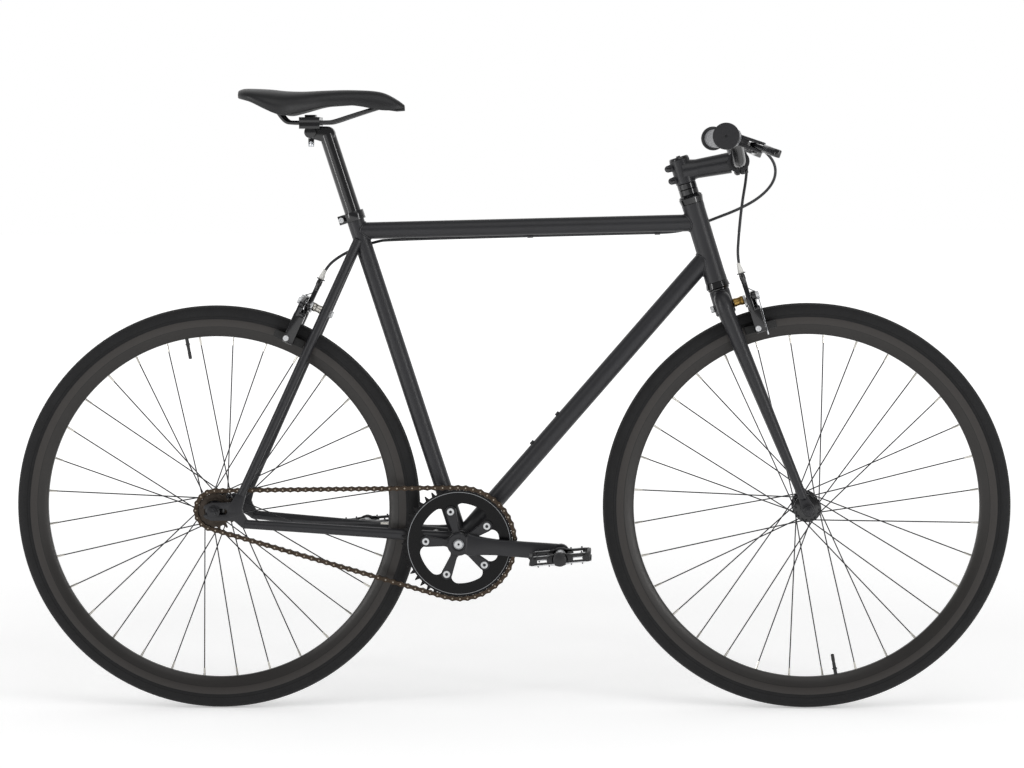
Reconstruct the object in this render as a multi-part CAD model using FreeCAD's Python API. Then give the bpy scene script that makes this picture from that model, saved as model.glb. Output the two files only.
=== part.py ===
import FreeCAD, Part
import math
import os

os.makedirs("parts", exist_ok=True)
V = FreeCAD.Vector
X_AXIS, Y_AXIS, Z_AXIS = V(1, 0, 0), V(0, 1, 0), V(0, 0, 1)
SIDES = (-1, 1)

# The bike stands on its tyres: +X forward, +Y its left, the drive side on the right (-Y).
# The origin is on the ground midway between the tyre contacts. Millimetres and degrees.

# Clearances and overruns
running_gap = 0.05
working_gap = 0.3
round_gap = 0.15
cut_overrun = 2.0

# Stance
wheelbase = 984.0
wheel_radius = 340.0
chain_stay_length = 410.0
bottom_bracket_drop = 56.0
head_angle = 73.0
seat_angle = 72.3
fork_rake = 33.0
fork_length = 388.0

# Frame tubes
head_tube_length = 135.0
head_tube_radius = 18.0
head_tube_wall = 3.0
seat_tube_length = 576.0
seat_tube_radius = 14.3
top_tube_radius = 14.0
down_tube_radius = 15.9
tube_wall = 1.2
seat_tube_wall = 0.65
top_tube_head_drop = 33.0
top_tube_seat_drop = 32.0
down_tube_rise = 45.0
shell_radius = 20.0
shell_width = 68.0
shell_wall = 2.8
chain_stay_front_radius = 9.5
chain_stay_rear_radius = 7.5
chain_stay_spread = 44.0
chain_stay_rise = 6.0
seat_stay_top_radius = 8.0
seat_stay_low_radius = 7.0
seat_stay_height = 530.0
seat_stay_spread = 20.0
seat_stay_setback = 5.0
bridge_radius = 6.5
brake_bridge_clearance = 35.1
chain_bridge_ahead = 364.0

# Dropouts, measured from the rear axle
hub_spacing = 120.0
dropout_thickness = 7.0
dropout_jaw_radius = 15.0
dropout_rear = 4.0
dropout_front = 34.0
dropout_slot_front = 18.0
dropout_neck_radius = 12.0
dropout_tab_radius = 7.5
chain_stay_end_ahead = 52.0
chain_stay_end_drop = 21.0
seat_stay_end_ahead = 46.0
seat_stay_end_rise = 27.0

# Bosses and cable guides
boss_radius = 4.5
boss_length = 5.0
boss_proud = 3.0
boss_hole_radius = 2.5
boss_low_distance = 203.0
boss_spacing = 64.0
guide_radius = 4.0
guide_length = 9.0
guide_swing = 25.0
guide_along_shares = (0.13, 0.505, 0.88)

# Headset and bottom bracket
steerer_radius = 14.3
steerer_wall = 2.0
cup_height = 11.0
cup_radius = 20.0
race_height = 3.5
race_radius = 18.0
cover_height = 4.0
spacer_height = 10.0
spacer_radius = 17.0
bracket_cup_depth = 20.0
bracket_cup_flange = 2.5
spindle_radius = 8.5
spindle_length = 116.0

# Seat clamp, post and saddle
clamp_height = 15.0
clamp_wall = 3.4
clamp_ear_length = 9.0
clamp_ear_width = 13.0
clamp_slit = 2.0
clamp_bolt_radius = 2.5
clamp_bolt_head = 4.5
post_wall = 2.0
post_bottom = 476.0
post_top = 712.0
post_head_width = 22.0
cradle_back = 27.0
cradle_rise = 4.0
cradle_radius = 10.0
cradle_width = 36.0
rail_radius = 3.5
rail_rise = 15.7
rail_spread = 46.0
rail_bend = 14.0
rail_nose_spread = 16.0
rail_tail_spread = 52.0
rail_tail_rise = 16.0
rail_nose_rise = 24.0
rail_tail_share = 0.2
rail_nose_share = 0.84
plate_length = 34.0
plate_width = 58.0
plate_low_depth = 10.0
plate_high_depth = 9.0
plate_split = 0.8
clamp_knob_length = 18.0
clamp_knob_width = 26.0
clamp_knob_height = 4.0
saddle_bolt_radius = 3.0
saddle_bolt_head = 5.0
saddle_bolt_drop = 20.0
saddle_setback = 116.7
saddle_length = 273.0
saddle_width = 142.0
saddle_stack = 57.5
saddle_depth = 47.0
saddle_padding = 21.0
saddle_shell_wall = 3.0
# along the saddle, half width, crown below the top, edge below the top
saddle_section_shares = (
    (0.0, 0.30, 0.13, 0.33), (0.08, 0.46, 0.0, 0.50), (0.19, 0.50, 0.04, 0.82), (0.28, 0.46, 0.10, 1.0),
    (0.39, 0.35, 0.12, 0.88), (0.52, 0.24, 0.09, 0.69), (0.68, 0.17, 0.08, 0.63), (0.85, 0.14, 0.15, 0.79),
    (0.95, 0.12, 0.36, 0.85), (1.0, 0.06, 0.60, 0.79),
)
saddle_shoulder_share = 0.84
saddle_shoulder_drop_share = 0.30
saddle_edge_share = 0.90
saddle_steps = 8
saddle_side_steps = 2

# Wheels
tyre_width = 28.0
tyre_sides = 7
rim_width = 22.0
rim_depth = 30.0
rim_track = 14.0
rim_bed_width = 9.0
spoke_count = 32
spoke_crossings = 3
spoke_radius = 1.0
spoke_sides = 4
spoke_offset_share = 0.25
spoke_inset = 0.6
flange_radius = 23.0
flange_thickness = 3.2
spoke_circle_radius = 19.5
spoke_out_offset = 3.3
spoke_in_offset = 2.7
valve_radius = 3.0
valve_length = 34.0
rear_valve_turn = 100.0
front_valve_turn = -80.0
rear_flange_spacing = 60.0
rear_hub_radius = 14.5
rear_bearing_radius = 12.0
rear_bearing_width = 9.0
cog_boss_radius = 17.0
cog_boss_end = 49.0
left_boss_end = 45.0
rear_axle_radius = 5.0
rear_axle_length = 166.0
front_flange_spacing = 66.0
front_hub_radius = 13.0
front_boss_end = 46.0
front_bearing_radius = 11.0
front_bearing_width = 8.0
front_axle_radius = 4.5
front_axle_length = 140.0
front_spacing = 100.0
locknut_radius = 8.5
washer_radius = 11.0
washer_thickness = 1.5
axle_tip_step = 0.4
axle_nut_radius = 8.7
axle_nut_length = 8.5
hex_sides = 6

# Flat sides that stand for round pieces
round_sides = 12
small_sides = 6
wheel_sides = 48
link_steps = 4
bend_step = 24.0

# Drive
chain_line = 44.0
chain_pitch = 12.7
ring_teeth = 46
cog_teeth = 16
tooth_thickness = 2.8
tooth_root_depth = 4.4
tooth_root_half = 2.6
tooth_height = 3.0
tooth_tip_half = 1.05
ring_inner_radius = 70.0
ring_tab_radius = 11.0
bolt_circle_radius = 55.0
ring_bolt_radius = 4.0
ring_bolt_head = 6.0
ring_bolt_head_height = 2.0
lockring_radius = 21.0
roller_radius = 3.7
roller_width = 3.3
roller_sides = 4
link_plate = 1.0
link_half_height = 4.1
link_flat = 1.0
link_nose = 4.6
crank_length = 170.0
crank_angle = -4.0
crank_hub_radius = 19.0
crank_hub_inner = 46.0
crank_hub_outer = 61.0
crank_recess_radius = 11.0
crank_recess_depth = 4.0
crank_root_width = 36.0
crank_root_thickness = 13.0
crank_end_width = 23.0
crank_end_inner = 66.5
crank_end_outer = 79.5
crank_eye_radius = 13.0
crank_corner = 4.0
spider_thickness = 6.0
spider_root_radius = 14.0
spider_tip_radius = 10.5
spider_arms = 5
crank_bolt_radius = 8.0
crank_bolt_height = 3.0
pedal_axle_radius = 4.5
pedal_axle_end = 157.0
pedal_collar_radius = 8.0
pedal_collar_length = 4.5
pedal_inner = 90.0
pedal_outer = 156.0
pedal_cap = 163.0
pedal_length = 102.0
pedal_height = 15.0
pedal_wall = 6.0
pedal_corner = 16.0
pedal_barrel_radius = 9.0
pedal_tilt = 5.0

# Fork
crown_elbow_radius = 21.5
blade_spread = 72.0
blade_top = 352.0
blade_top_radius = 13.5
blade_tip_radius = 7.0
blade_tip_height = 24.0
blade_tip_back = 2.0
crown_stem_radius = 17.0
crown_stem_low = 346.0
steerer_low = 372.0
fork_end_thickness = 5.0
fork_end_radius = 11.0

# Stem, bar and grips
stem_length = 93.0
stem_drop_angle = 7.0
stem_height = 41.0
stem_clamp_radius = 19.0
stem_back_radius = 16.5
stem_front_radius = 15.5
bar_clamp_radius = 19.5
bar_clamp_width = 44.0
stem_split = 2.0
lug_low = 10.0
lug_high = 23.0
lug_depth = 9.0
stem_bolt_radius = 2.5
stem_bolt_head = 4.0
stem_bolt_head_height = 4.0
stem_bolt_spacing = 30.0
stem_bolt_height = 18.0
ear_back = 27.0
ear_width = 20.0
ear_inset = 4.0
ear_bolt_back = 22.0
ear_bolt_inset = 10.0
cap_thickness = 4.0
cap_radius = 17.0
steerer_short = 2.0
bar_centre_radius = 12.7
bar_centre_width = 60.0
bar_radius = 11.1
bar_half = 302.0
bar_rise = 39.5
bar_back = 31.0
bar_bend_in = 48.0
bar_bend_out = 105.0
bar_bend_rise = 37.5
bar_bend_back = 9.5
bar_bend_radius = 45.0
grip_length = 118.0
grip_radius = 16.0
grip_flange_radius = 21.0
grip_flange = 4.0
grip_cap = 3.0

# Brake levers
lever_gap = 3.5
lever_slope = 19.0
perch_width = 17.0
perch_radius = 16.0
perch_thickness = 16.0
perch_pivot = 38.0
perch_neck = 11.0
perch_nose_radius = 8.0
lever_thickness = 7.0
lever_pin_radius = 2.5
lever_eye_radius = 7.5
lever_barrel_radius = 4.0
lever_barrel_length = 13.0
lever_barrel_ahead = 22.0
# the lever's knuckle, grip start, grip end and tip: ahead of the bar, outward along it, half width
lever_places = {"knuckle": (59.0, 18.0, 7.0), "hold": (61.0, 72.0, 5.5), "reach": (70.0, 98.0, 5.0),
                "tip": (82.0, 116.0, 6.5)}

# Brake calipers
brake_bolt_height = 360.0
front_standoff = 34.0
rear_standoff = 24.0
bracket_thickness = 4.0
arm_thickness = 8.0
arm_layer_gap = 0.5
arm_eye_radius = 8.0
shoulder_radius = 7.0
arm_end_radius = 6.0
cable_offset = 26.0
anchor_rise = 4.0
anchor_radius = 6.0
shoulder_offset = 27.0
shoulder_drop = 6.0
pad_arm_offset = 25.0
side_pivot_offset = 15.0
adjuster_rise = 22.0
adjuster_top = 45.0
adjuster_radius = 4.0
brake_pin_radius = 3.0
brake_nut_radius = 6.5
brake_nut_length = 6.0
pad_gap = 2.3
pad_length = 50.0
pad_height = 8.0
pad_radius_from_axle = 310.0
pad_bolt_radius = 4.5
pad_bolt_length = 4.0

# Brake cables
cable_radius = 2.4
cable_sides = 6
lever_lead = 26.0
front_lead = 22.0
rear_lead = 20.0
guide_lead = 24.0
run_share = 0.45


def unit(vector):
    return V(vector).normalize()


def square_to(axis):
    across = V(axis).cross(Z_AXIS)
    return unit(across) if across.Length > 0 else V(X_AXIS)


def corners_round(centre, axis, radius, sides):
    first = square_to(axis)
    second = unit(axis.cross(first))
    turns = [2 * math.pi * k / sides for k in range(sides)]
    return [centre + (first * math.cos(a) + second * math.sin(a)) * radius for a in turns]


def closed_wire(corners):
    return Part.makePolygon(corners + corners[:1])


def flat_face(corners):
    return Part.Face(closed_wire(corners))


def drilled(solid, start, end, radius):
    # a round hole in which a pin of this radius turns
    return solid.cut(Part.makeCylinder(radius + round_gap, (end - start).Length, start, end - start))


def shaft(start, end, radius):
    return Part.makeCylinder(radius, (end - start).Length, start, end - start)


def bore_for(radius, sides):
    # corner radius of a many-sided bore in which a shaft of this radius turns
    return (radius + running_gap) / math.cos(math.pi / sides)


def rod(start, end, radius, sides=round_sides):
    return flat_face(corners_round(start, end - start, radius, sides)).extrude(end - start)


def pipe(start, end, radius, bore, sides=round_sides):
    axis = end - start
    outer = flat_face(corners_round(start, axis, radius, sides))
    return outer.cut(flat_face(corners_round(start, axis, bore, sides))).extrude(axis).Solids[0]


def taper(start, end, radius_start, radius_end, sides=round_sides):
    axis = end - start
    return skinned([corners_round(start, axis, radius_start, sides),
                    corners_round(end, axis, radius_end, sides)])


def sewn(faces):
    shell = Part.makeShell(faces)
    shell.sewShape()
    solid = Part.makeSolid(shell)
    if solid.Volume < 0:
        solid.reverse()
    return solid


def skinned(loops, twisted=False):
    # straight-sided skin through loops of corners; twisted sides are split into two flats
    faces = [flat_face(loops[0]), flat_face(loops[-1])]
    for low, high in zip(loops, loops[1:]):
        for k in range(len(low)):
            a, b, c, d = low[k - 1], low[k], high[k], high[k - 1]
            faces += [flat_face([a, b, c]), flat_face([a, c, d])] if twisted else [flat_face([a, b, c, d])]
    return sewn(faces)


def turned(outline, base, axis, sides=round_sides):
    # a lathe form with flat sides: the outline is radius and place along the axis
    way = unit(axis)
    rings = [corners_round(base + way * along, way, radius, sides) if radius else base + way * along
             for radius, along in outline]
    faces = []
    for low, high in zip(rings, rings[1:] + rings[:1]):
        for k in range(sides):
            corners = [c for r in (low, high) if isinstance(r, list) for c in (r[k], r[(k + 1) % sides])]
            if len(corners) == 4:
                corners = [corners[0], corners[1], corners[3], corners[2]]
            corners += [r for r in (low, high) if not isinstance(r, list)]
            if len(corners) > 2:
                faces.append(flat_face(corners))
    return sewn(faces)


def ring(base, axis, low, high, radius, bore, sides=round_sides):
    way = unit(axis)
    return pipe(base + way * low, base + way * high, radius, bore, sides)


def placed(shape, origin, x_dir, y_dir):
    shape = shape.copy()
    turn = FreeCAD.Rotation(x_dir, y_dir, x_dir.cross(y_dir), "XYZ")
    shape.Placement = FreeCAD.Placement(origin, turn)
    return shape


def block(lows, highs):
    size = V(*highs) - V(*lows)
    return Part.makeBox(size.x, size.y, size.z, V(*lows))


def link(start, end, radius_start, radius_end, low, high):
    # flat link in the XY plane: round at both ends, straight sides tangent to both
    a, b = V(*start, low), V(*end, low)
    heading = math.atan2(b.y - a.y, b.x - a.x)
    lean = math.acos((radius_start - radius_end) / (b - a).Length)
    back, front = 2 * math.pi - 2 * lean, 2 * lean
    corners = []
    ends = ((a, radius_start, heading + lean, back), (b, radius_end, heading - lean, front))
    for centre, radius, first, sweep in ends:
        for k in range(link_steps + 1):
            angle = first + sweep * k / link_steps
            corners.append(centre + V(math.cos(angle), math.sin(angle), 0) * radius)
    return flat_face(corners).extrude(Z_AXIS * (high - low))


def joined(*solids):
    return solids[0].fuse(list(solids[1:])).removeSplitter()


def mirrored(shape):
    return shape.mirror(V(0, 0, 0), Y_AXIS)


def route(points, bend_radius=None):
    # straight runs joined by tangent arcs, as points along them, with the least bend radius used
    path, least = [points[0]], wheelbase
    for before, corner, after in zip(points, points[1:], points[2:]):
        inward, outward = unit(corner - before), unit(after - corner)
        turn = inward.getAngle(outward)
        setback = run_share * min((corner - before).Length, (after - corner).Length)
        if bend_radius:
            setback = min(setback, bend_radius * math.tan(turn / 2))
        radius = setback / math.tan(turn / 2)
        centre = corner - inward * setback + unit(outward - inward * math.cos(turn)) * radius
        steps = max(1, math.ceil(turn / math.radians(bend_step)))
        for k in range(steps + 1):
            angle = turn * k / steps
            side = unit(outward - inward * math.cos(turn))
            path.append(centre + inward * (radius * math.sin(angle)) - side * (radius * math.cos(angle)))
        least = min(least, radius)
    return path + [points[-1]], least


def bent_rod(path, radius, sides):
    # one section carried along the path, mitred at each of its points
    runs = [unit(b - a) for a, b in zip(path, path[1:])]
    section = corners_round(path[0], runs[0], radius, sides)
    sections = [section]
    for k, run in enumerate(runs):
        normal = unit(run + runs[k + 1]) if k + 1 < len(runs) else run
        section = [c + run * ((path[k + 1] - c).dot(normal) / run.dot(normal)) for c in section]
        sections.append(section)
    return skinned(sections)


def cable(points):
    path, least = route(points)
    tube = bent_rod(path, cable_radius, cable_sides)
    length = sum((b - a).Length for a, b in zip(path, path[1:]))
    area = flat_face(corners_round(path[0], path[1] - path[0], cable_radius, cable_sides)).Area
    print("cable length", round(length), "volume share", round(tube.Volume / (area * length), 3),
          "least bend", round(least, 1))
    return tube


def save(name, *solids):
    shape = solids[0] if len(solids) == 1 else Part.makeCompound(list(solids))
    shape.exportStep("parts/" + name + ".step")


# Main points and directions
post_radius = seat_tube_radius - seat_tube_wall - running_gap
rear_hub_centre = V(-wheelbase / 2, 0, wheel_radius)
front_hub_centre = V(wheelbase / 2, 0, wheel_radius)
bracket = rear_hub_centre + V(math.sqrt(chain_stay_length**2 - bottom_bracket_drop**2), 0,
                              -bottom_bracket_drop)
head_turn, seat_turn = math.radians(head_angle), math.radians(seat_angle)
steer_up = V(-math.cos(head_turn), 0, math.sin(head_turn))
steer_out = V(math.sin(head_turn), 0, math.cos(head_turn))
steer_foot = front_hub_centre - steer_out * fork_rake
seat_up = V(-math.cos(seat_turn), 0, math.sin(seat_turn))
seat_back = V(-math.sin(seat_turn), 0, -math.cos(seat_turn))
head_low = fork_length + race_height + working_gap + cup_height
head_high = head_low + head_tube_length
cover_low = head_high + cup_height + working_gap
stem_low = cover_low + cover_height + 2 * spacer_height
stem_high = stem_low + stem_height


def steer(out, across, up):
    return steer_foot + steer_out * out + Y_AXIS * across + steer_up * up


def seat(up, back=0.0):
    return bracket + seat_up * up + seat_back * back


top_tube_head = steer(0, 0, head_high - top_tube_head_drop)
top_tube_seat = seat(seat_tube_length - top_tube_seat_drop)
down_tube_head = steer(0, 0, head_low + down_tube_rise)
top_ahead = unit(top_tube_head - top_tube_seat)
down_ahead = unit(down_tube_head - bracket)
dropout_middle = (hub_spacing + dropout_thickness) / 2
chain_stay_end = V(rear_hub_centre.x + chain_stay_end_ahead, dropout_middle,
                   wheel_radius - chain_stay_end_drop)
chain_stay_start = V(bracket.x, chain_stay_spread / 2, bracket.z + chain_stay_rise)
seat_stay_end = V(rear_hub_centre.x + seat_stay_end_ahead, dropout_middle, wheel_radius + seat_stay_end_rise)
seat_stay_start = seat(seat_stay_height, seat_stay_setback) + Y_AXIS * (seat_stay_spread / 2)
stay_flat = V(seat_stay_end.x - seat_stay_start.x, 0, seat_stay_end.z - seat_stay_start.z)
stay_up = unit(stay_flat) * -1
stay_out = (Y_AXIS * -1).cross(stay_up)
stay_foot = V(seat_stay_end_ahead, 0, seat_stay_end_rise)
bridge_distance = wheel_radius + brake_bridge_clearance
foot_along = stay_foot.dot(stay_up)
bridge_up = math.sqrt(foot_along**2 - stay_foot.Length**2 + bridge_distance**2) - foot_along
bridge_share = 1 - bridge_up / stay_flat.Length
bridge_middle = rear_hub_centre + stay_foot + stay_up * bridge_up
bridge_half = seat_stay_start.y + (seat_stay_end.y - seat_stay_start.y) * bridge_share
cradle = seat(post_top) + V(-cradle_back, 0, cradle_rise)
rail_height = cradle.z + rail_rise
saddle_top = rail_height + saddle_stack
saddle_tail = cradle.x - saddle_setback
lever_place = bar_half - grip_length - perch_width / 2 - lever_gap


def frame_tubes():
    shell_core = rod(bracket - Y_AXIS * shell_width, bracket + Y_AXIS * shell_width, shell_radius)
    head_core = rod(steer(0, 0, head_low), steer(0, 0, head_high), head_tube_radius)
    seat_core = rod(bracket, seat(seat_tube_length), seat_tube_radius)
    half = Y_AXIS * (shell_width / 2)
    save("bottom_bracket_shell",
         pipe(bracket - half, bracket + half, shell_radius, shell_radius - shell_wall))
    save("head_tube", pipe(steer(0, 0, head_low), steer(0, 0, head_high), head_tube_radius,
                           head_tube_radius - head_tube_wall))
    seat_tube = pipe(bracket, seat(seat_tube_length), seat_tube_radius, seat_tube_radius - seat_tube_wall)
    save("seat_tube", seat_tube.cut(shell_core))
    top = pipe(top_tube_seat, top_tube_head, top_tube_radius, top_tube_radius - tube_wall)
    save("top_tube", top.cut([seat_core, head_core]))
    down = pipe(bracket, down_tube_head, down_tube_radius, down_tube_radius - tube_wall)
    bosses, cores = bottle_bosses()
    save("down_tube", down.cut([shell_core, seat_core, head_core] + cores))
    save("bottle_bosses", *bosses)
    rear_stays(shell_core, seat_core)


def bottle_bosses():
    outward = V(-down_ahead.z, 0, down_ahead.x)
    bosses, cores = [], []
    for distance in (boss_low_distance, boss_low_distance + boss_spacing):
        top = bracket + down_ahead * distance + outward * (down_tube_radius + boss_proud)
        foot = top - outward * boss_length
        core = rod(foot, top, boss_radius, small_sides)
        bosses.append(core.cut(rod(foot, top, boss_hole_radius)))
        cores.append(core)
    return bosses, cores


def dropout_plate():
    low, high = -dropout_thickness / 2, dropout_thickness / 2
    front = (dropout_front, 0)
    plate = joined(
        link((-dropout_rear, 0), front, dropout_jaw_radius, dropout_jaw_radius, low, high),
        link(front, (seat_stay_end_ahead, seat_stay_end_rise), dropout_neck_radius, dropout_tab_radius,
             low, high),
        link(front, (chain_stay_end_ahead, -chain_stay_end_drop), dropout_neck_radius, dropout_tab_radius,
             low, high),
    )
    slot_half = rear_axle_radius + running_gap
    slot = link((dropout_slot_front, 0), (-wheel_radius, 0), slot_half, slot_half, low - cut_overrun,
                high + cut_overrun)
    return plate.cut(slot)


def rear_stays(shell_core, seat_core):
    plates, chain_stays, seat_stays = [], [], []
    for side in SIDES:
        place = V(rear_hub_centre.x, side * dropout_middle, wheel_radius)
        plate = placed(dropout_plate(), place, X_AXIS, Z_AXIS)
        chain_ends = [V(p.x, p.y * side, p.z) for p in (chain_stay_start, chain_stay_end)]
        seat_ends = [V(p.x, p.y * side, p.z) for p in (seat_stay_start, seat_stay_end)]
        chain_stay = taper(*chain_ends, chain_stay_front_radius, chain_stay_rear_radius)
        seat_stay = taper(*seat_ends, seat_stay_top_radius, seat_stay_low_radius)
        plates.append(plate)
        chain_stays.append(chain_stay.cut([shell_core, plate]))
        seat_stays.append(seat_stay.cut([seat_core, plate]))
    save("rear_dropouts", *plates)
    save("chain_stays", *chain_stays)
    save("seat_stays", *seat_stays)
    reach = Y_AXIS * bridge_half
    brake_bridge = rod(bridge_middle - reach, bridge_middle + reach, bridge_radius)
    through = stay_out * shell_radius
    bolt_core = rod(bridge_middle - through, bridge_middle + through, brake_pin_radius, small_sides)
    brake_bridge = brake_bridge.cut(seat_stays + [bolt_core])
    run = chain_stay_end - chain_stay_start
    share = (rear_hub_centre.x + chain_bridge_ahead - chain_stay_start.x) / run.x
    spot = chain_stay_start + run * share
    chain_bridge = rod(V(spot.x, -spot.y, spot.z), spot, bridge_radius).cut(chain_stays)
    save("stay_bridges", brake_bridge, chain_bridge)


def guide_point(share):
    swing = math.radians(guide_swing)
    away = V(0, math.sin(swing), -math.cos(swing))
    spot = top_tube_seat + (top_tube_head - top_tube_seat) * share
    return spot + away * (top_tube_radius + guide_radius - cable_radius / 2)


def cable_guides():
    tube = rod(top_tube_seat, top_tube_head, top_tube_radius)
    guides = []
    for share in guide_along_shares:
        half = top_ahead * (guide_length / 2)
        spot = guide_point(share)
        guide = pipe(spot - half, spot + half, guide_radius, cable_radius + running_gap, cable_sides)
        guides.append(guide.cut(tube))
    save("cable_guides", *guides)


def headset_and_bracket():
    cups = []
    for low in (head_low - cup_height, head_high):
        foot, top = steer(0, 0, low), steer(0, 0, low + cup_height)
        cups.append(drilled(rod(foot, top, cup_radius), foot, top, steerer_radius))
    save("headset_cups", *cups)
    race = ring(steer_foot, steer_up, fork_length, fork_length + race_height, race_radius, steerer_radius)
    cover = turned([(steerer_radius, cover_low), (cup_radius, cover_low),
                    (spacer_radius, cover_low + cover_height),
                    (steerer_radius, cover_low + cover_height)], steer_foot, steer_up)
    spacers = [ring(steer_foot, steer_up, low, low + spacer_height, spacer_radius, steerer_radius)
               for low in (stem_low - 2 * spacer_height, stem_low - spacer_height)]
    save("headset_spacers", race, cover, *spacers)
    shell_bore = shell_radius - shell_wall
    half = shell_width / 2
    hole = bore_for(spindle_radius, round_sides)
    cup = turned([(hole, half - bracket_cup_depth), (shell_bore, half - bracket_cup_depth),
                  (shell_bore, half),
                  (shell_radius, half), (shell_radius, half + bracket_cup_flange),
                  (hole, half + bracket_cup_flange)],
                 bracket, Y_AXIS)
    save("bottom_bracket_cups", cup, mirrored(cup))


def seat_clamp():
    low, high = seat_tube_length + cut_overrun / 2 - clamp_height, seat_tube_length + cut_overrun / 2
    outer = seat_tube_radius + clamp_wall
    collar = rod(seat(low), seat(high), outer)
    ear = placed(block((low, -clamp_ear_width / 2, 0),
                       (high, clamp_ear_width / 2, outer + clamp_ear_length)),
                 bracket, seat_up, Y_AXIS)
    slit = placed(block((low - cut_overrun, -clamp_slit / 2, 0),
                        (high + cut_overrun, clamp_slit / 2, outer + clamp_ear_length + cut_overrun)),
                  bracket, seat_up, Y_AXIS)
    middle = seat((low + high) / 2, outer + clamp_ear_length / 2)
    half = Y_AXIS * (clamp_ear_width / 2)
    head = Y_AXIS * (clamp_ear_width / 2 + clamp_bolt_head / 2)
    shank = rod(middle - head, middle + half, clamp_bolt_radius, small_sides)
    bolt = joined(shank, rod(middle - head, middle - half, clamp_bolt_head, small_sides))
    body = joined(collar, ear)
    body = body.cut([rod(seat(0), seat(post_top), seat_tube_radius), slit, shank])
    save("seat_clamp", body, bolt)


def saddle_sections():
    for along, half, crown, edge in saddle_section_shares:
        x = saddle_tail + along * saddle_length
        yield (x, half * saddle_width, saddle_top - crown * saddle_depth, saddle_top - edge * saddle_depth)


def arc_points(start, middle, end, steps):
    # the last point is left to the next stretch of the outline
    return Part.Arc(start, middle, end).toShape().discretize(Number=steps + 1)[:-1]


def saddle_underside(x, half, top, edge):
    foot = half * saddle_edge_share
    return arc_points(V(x, foot, edge), V(x, 0, saddle_under(top, edge)), V(x, -foot, edge), saddle_steps)


def saddle_cover_loop(x, half, top, edge):
    foot, shoulder = half * saddle_edge_share, half * saddle_shoulder_share
    shoulder_z = top - (top - edge) * saddle_shoulder_drop_share
    middle_z = (edge + shoulder_z) / 2
    right, left = V(x, -foot, edge), V(x, foot, edge)
    high_right, high_left = V(x, -shoulder, shoulder_z), V(x, shoulder, shoulder_z)
    return (
        saddle_underside(x, half, top, edge)
        + arc_points(right, V(x, -half, middle_z), high_right, saddle_side_steps)
        + arc_points(high_right, V(x, 0, top), high_left, saddle_steps)
        + arc_points(high_left, V(x, half, middle_z), left, saddle_side_steps))


def saddle_under(top, edge):
    return max(top - saddle_padding, edge + (top - edge) / 3)


def saddle_shell_loop(x, half, top, edge):
    # follows the cover's underside, short of its edges
    under = saddle_underside(x, half, top, edge)[1:]
    low = Z_AXIS * (working_gap + saddle_shell_wall)
    return [p - Z_AXIS * working_gap for p in under] + [p - low for p in reversed(under)]


def seat_post_and_saddle():
    bolt_low, bolt_high = cradle - Z_AXIS * saddle_bolt_drop, V(cradle.x, 0, rail_height + plate_high_depth)
    bolt_hole = rod(bolt_low, bolt_high + Z_AXIS * clamp_knob_height, saddle_bolt_radius, small_sides)
    head = placed(link((seat(post_top).x, seat(post_top).z), (cradle.x, cradle.z), post_radius,
                       cradle_radius,
                       -post_head_width / 2, post_head_width / 2), V(0, 0, 0), X_AXIS, Z_AXIS)
    half = Y_AXIS * (cradle_width / 2)
    post = joined(rod(seat(post_bottom), seat(post_top), post_radius), head,
                  rod(cradle - half, cradle + half, cradle_radius))
    bore = rod(seat(post_bottom - cut_overrun), seat(post_top - post_radius), post_radius - post_wall)
    head_high = bolt_low + Z_AXIS * (saddle_bolt_drop - cradle_radius)
    bolt = joined(bolt_hole, rod(bolt_low, head_high, saddle_bolt_head, hex_sides))
    post = post.cut([bore, bolt])
    save("seat_post", post)

    rails = []
    tail_x = saddle_tail + saddle_length * rail_tail_share
    nose_x = saddle_tail + saddle_length * rail_nose_share
    flat_back, flat_front = cradle.x - plate_length, cradle.x + plate_length
    for side in SIDES:
        points = [V(tail_x, side * rail_tail_spread / 2, rail_height + rail_tail_rise),
                  V(flat_back, side * rail_spread / 2, rail_height),
                  V(flat_front, side * rail_spread / 2, rail_height),
                  V(nose_x, side * rail_nose_spread / 2, rail_height + rail_nose_rise)]
        rails.append(bent_rod(route(points, rail_bend)[0], rail_radius, small_sides))
    cover = skinned([saddle_cover_loop(*s) for s in saddle_sections()], True)
    shell = skinned([saddle_shell_loop(*s) for s in saddle_sections()], True)
    rails = [rail.cut([shell, cover]).Solids[0] for rail in rails]
    save("saddle_rails", *rails)
    save("saddle_shell", shell)
    save("saddle_cover", cover)

    low = block((cradle.x - plate_length / 2, -plate_width / 2, rail_height - plate_low_depth),
                (cradle.x + plate_length / 2, plate_width / 2, rail_height - plate_split / 2))
    high = block((cradle.x - plate_length / 2, -plate_width / 2, rail_height + plate_split / 2),
                 (cradle.x + plate_length / 2, plate_width / 2, rail_height + plate_high_depth))
    knob = block((cradle.x - clamp_knob_length / 2, -clamp_knob_width / 2, rail_height + plate_high_depth),
                 (cradle.x + clamp_knob_length / 2, clamp_knob_width / 2,
                  rail_height + plate_high_depth + clamp_knob_height))
    save("saddle_clamp", low.cut(rails + [bolt_hole, post]),
         joined(high, knob).cut(rails + [bolt_hole]), bolt)


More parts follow.
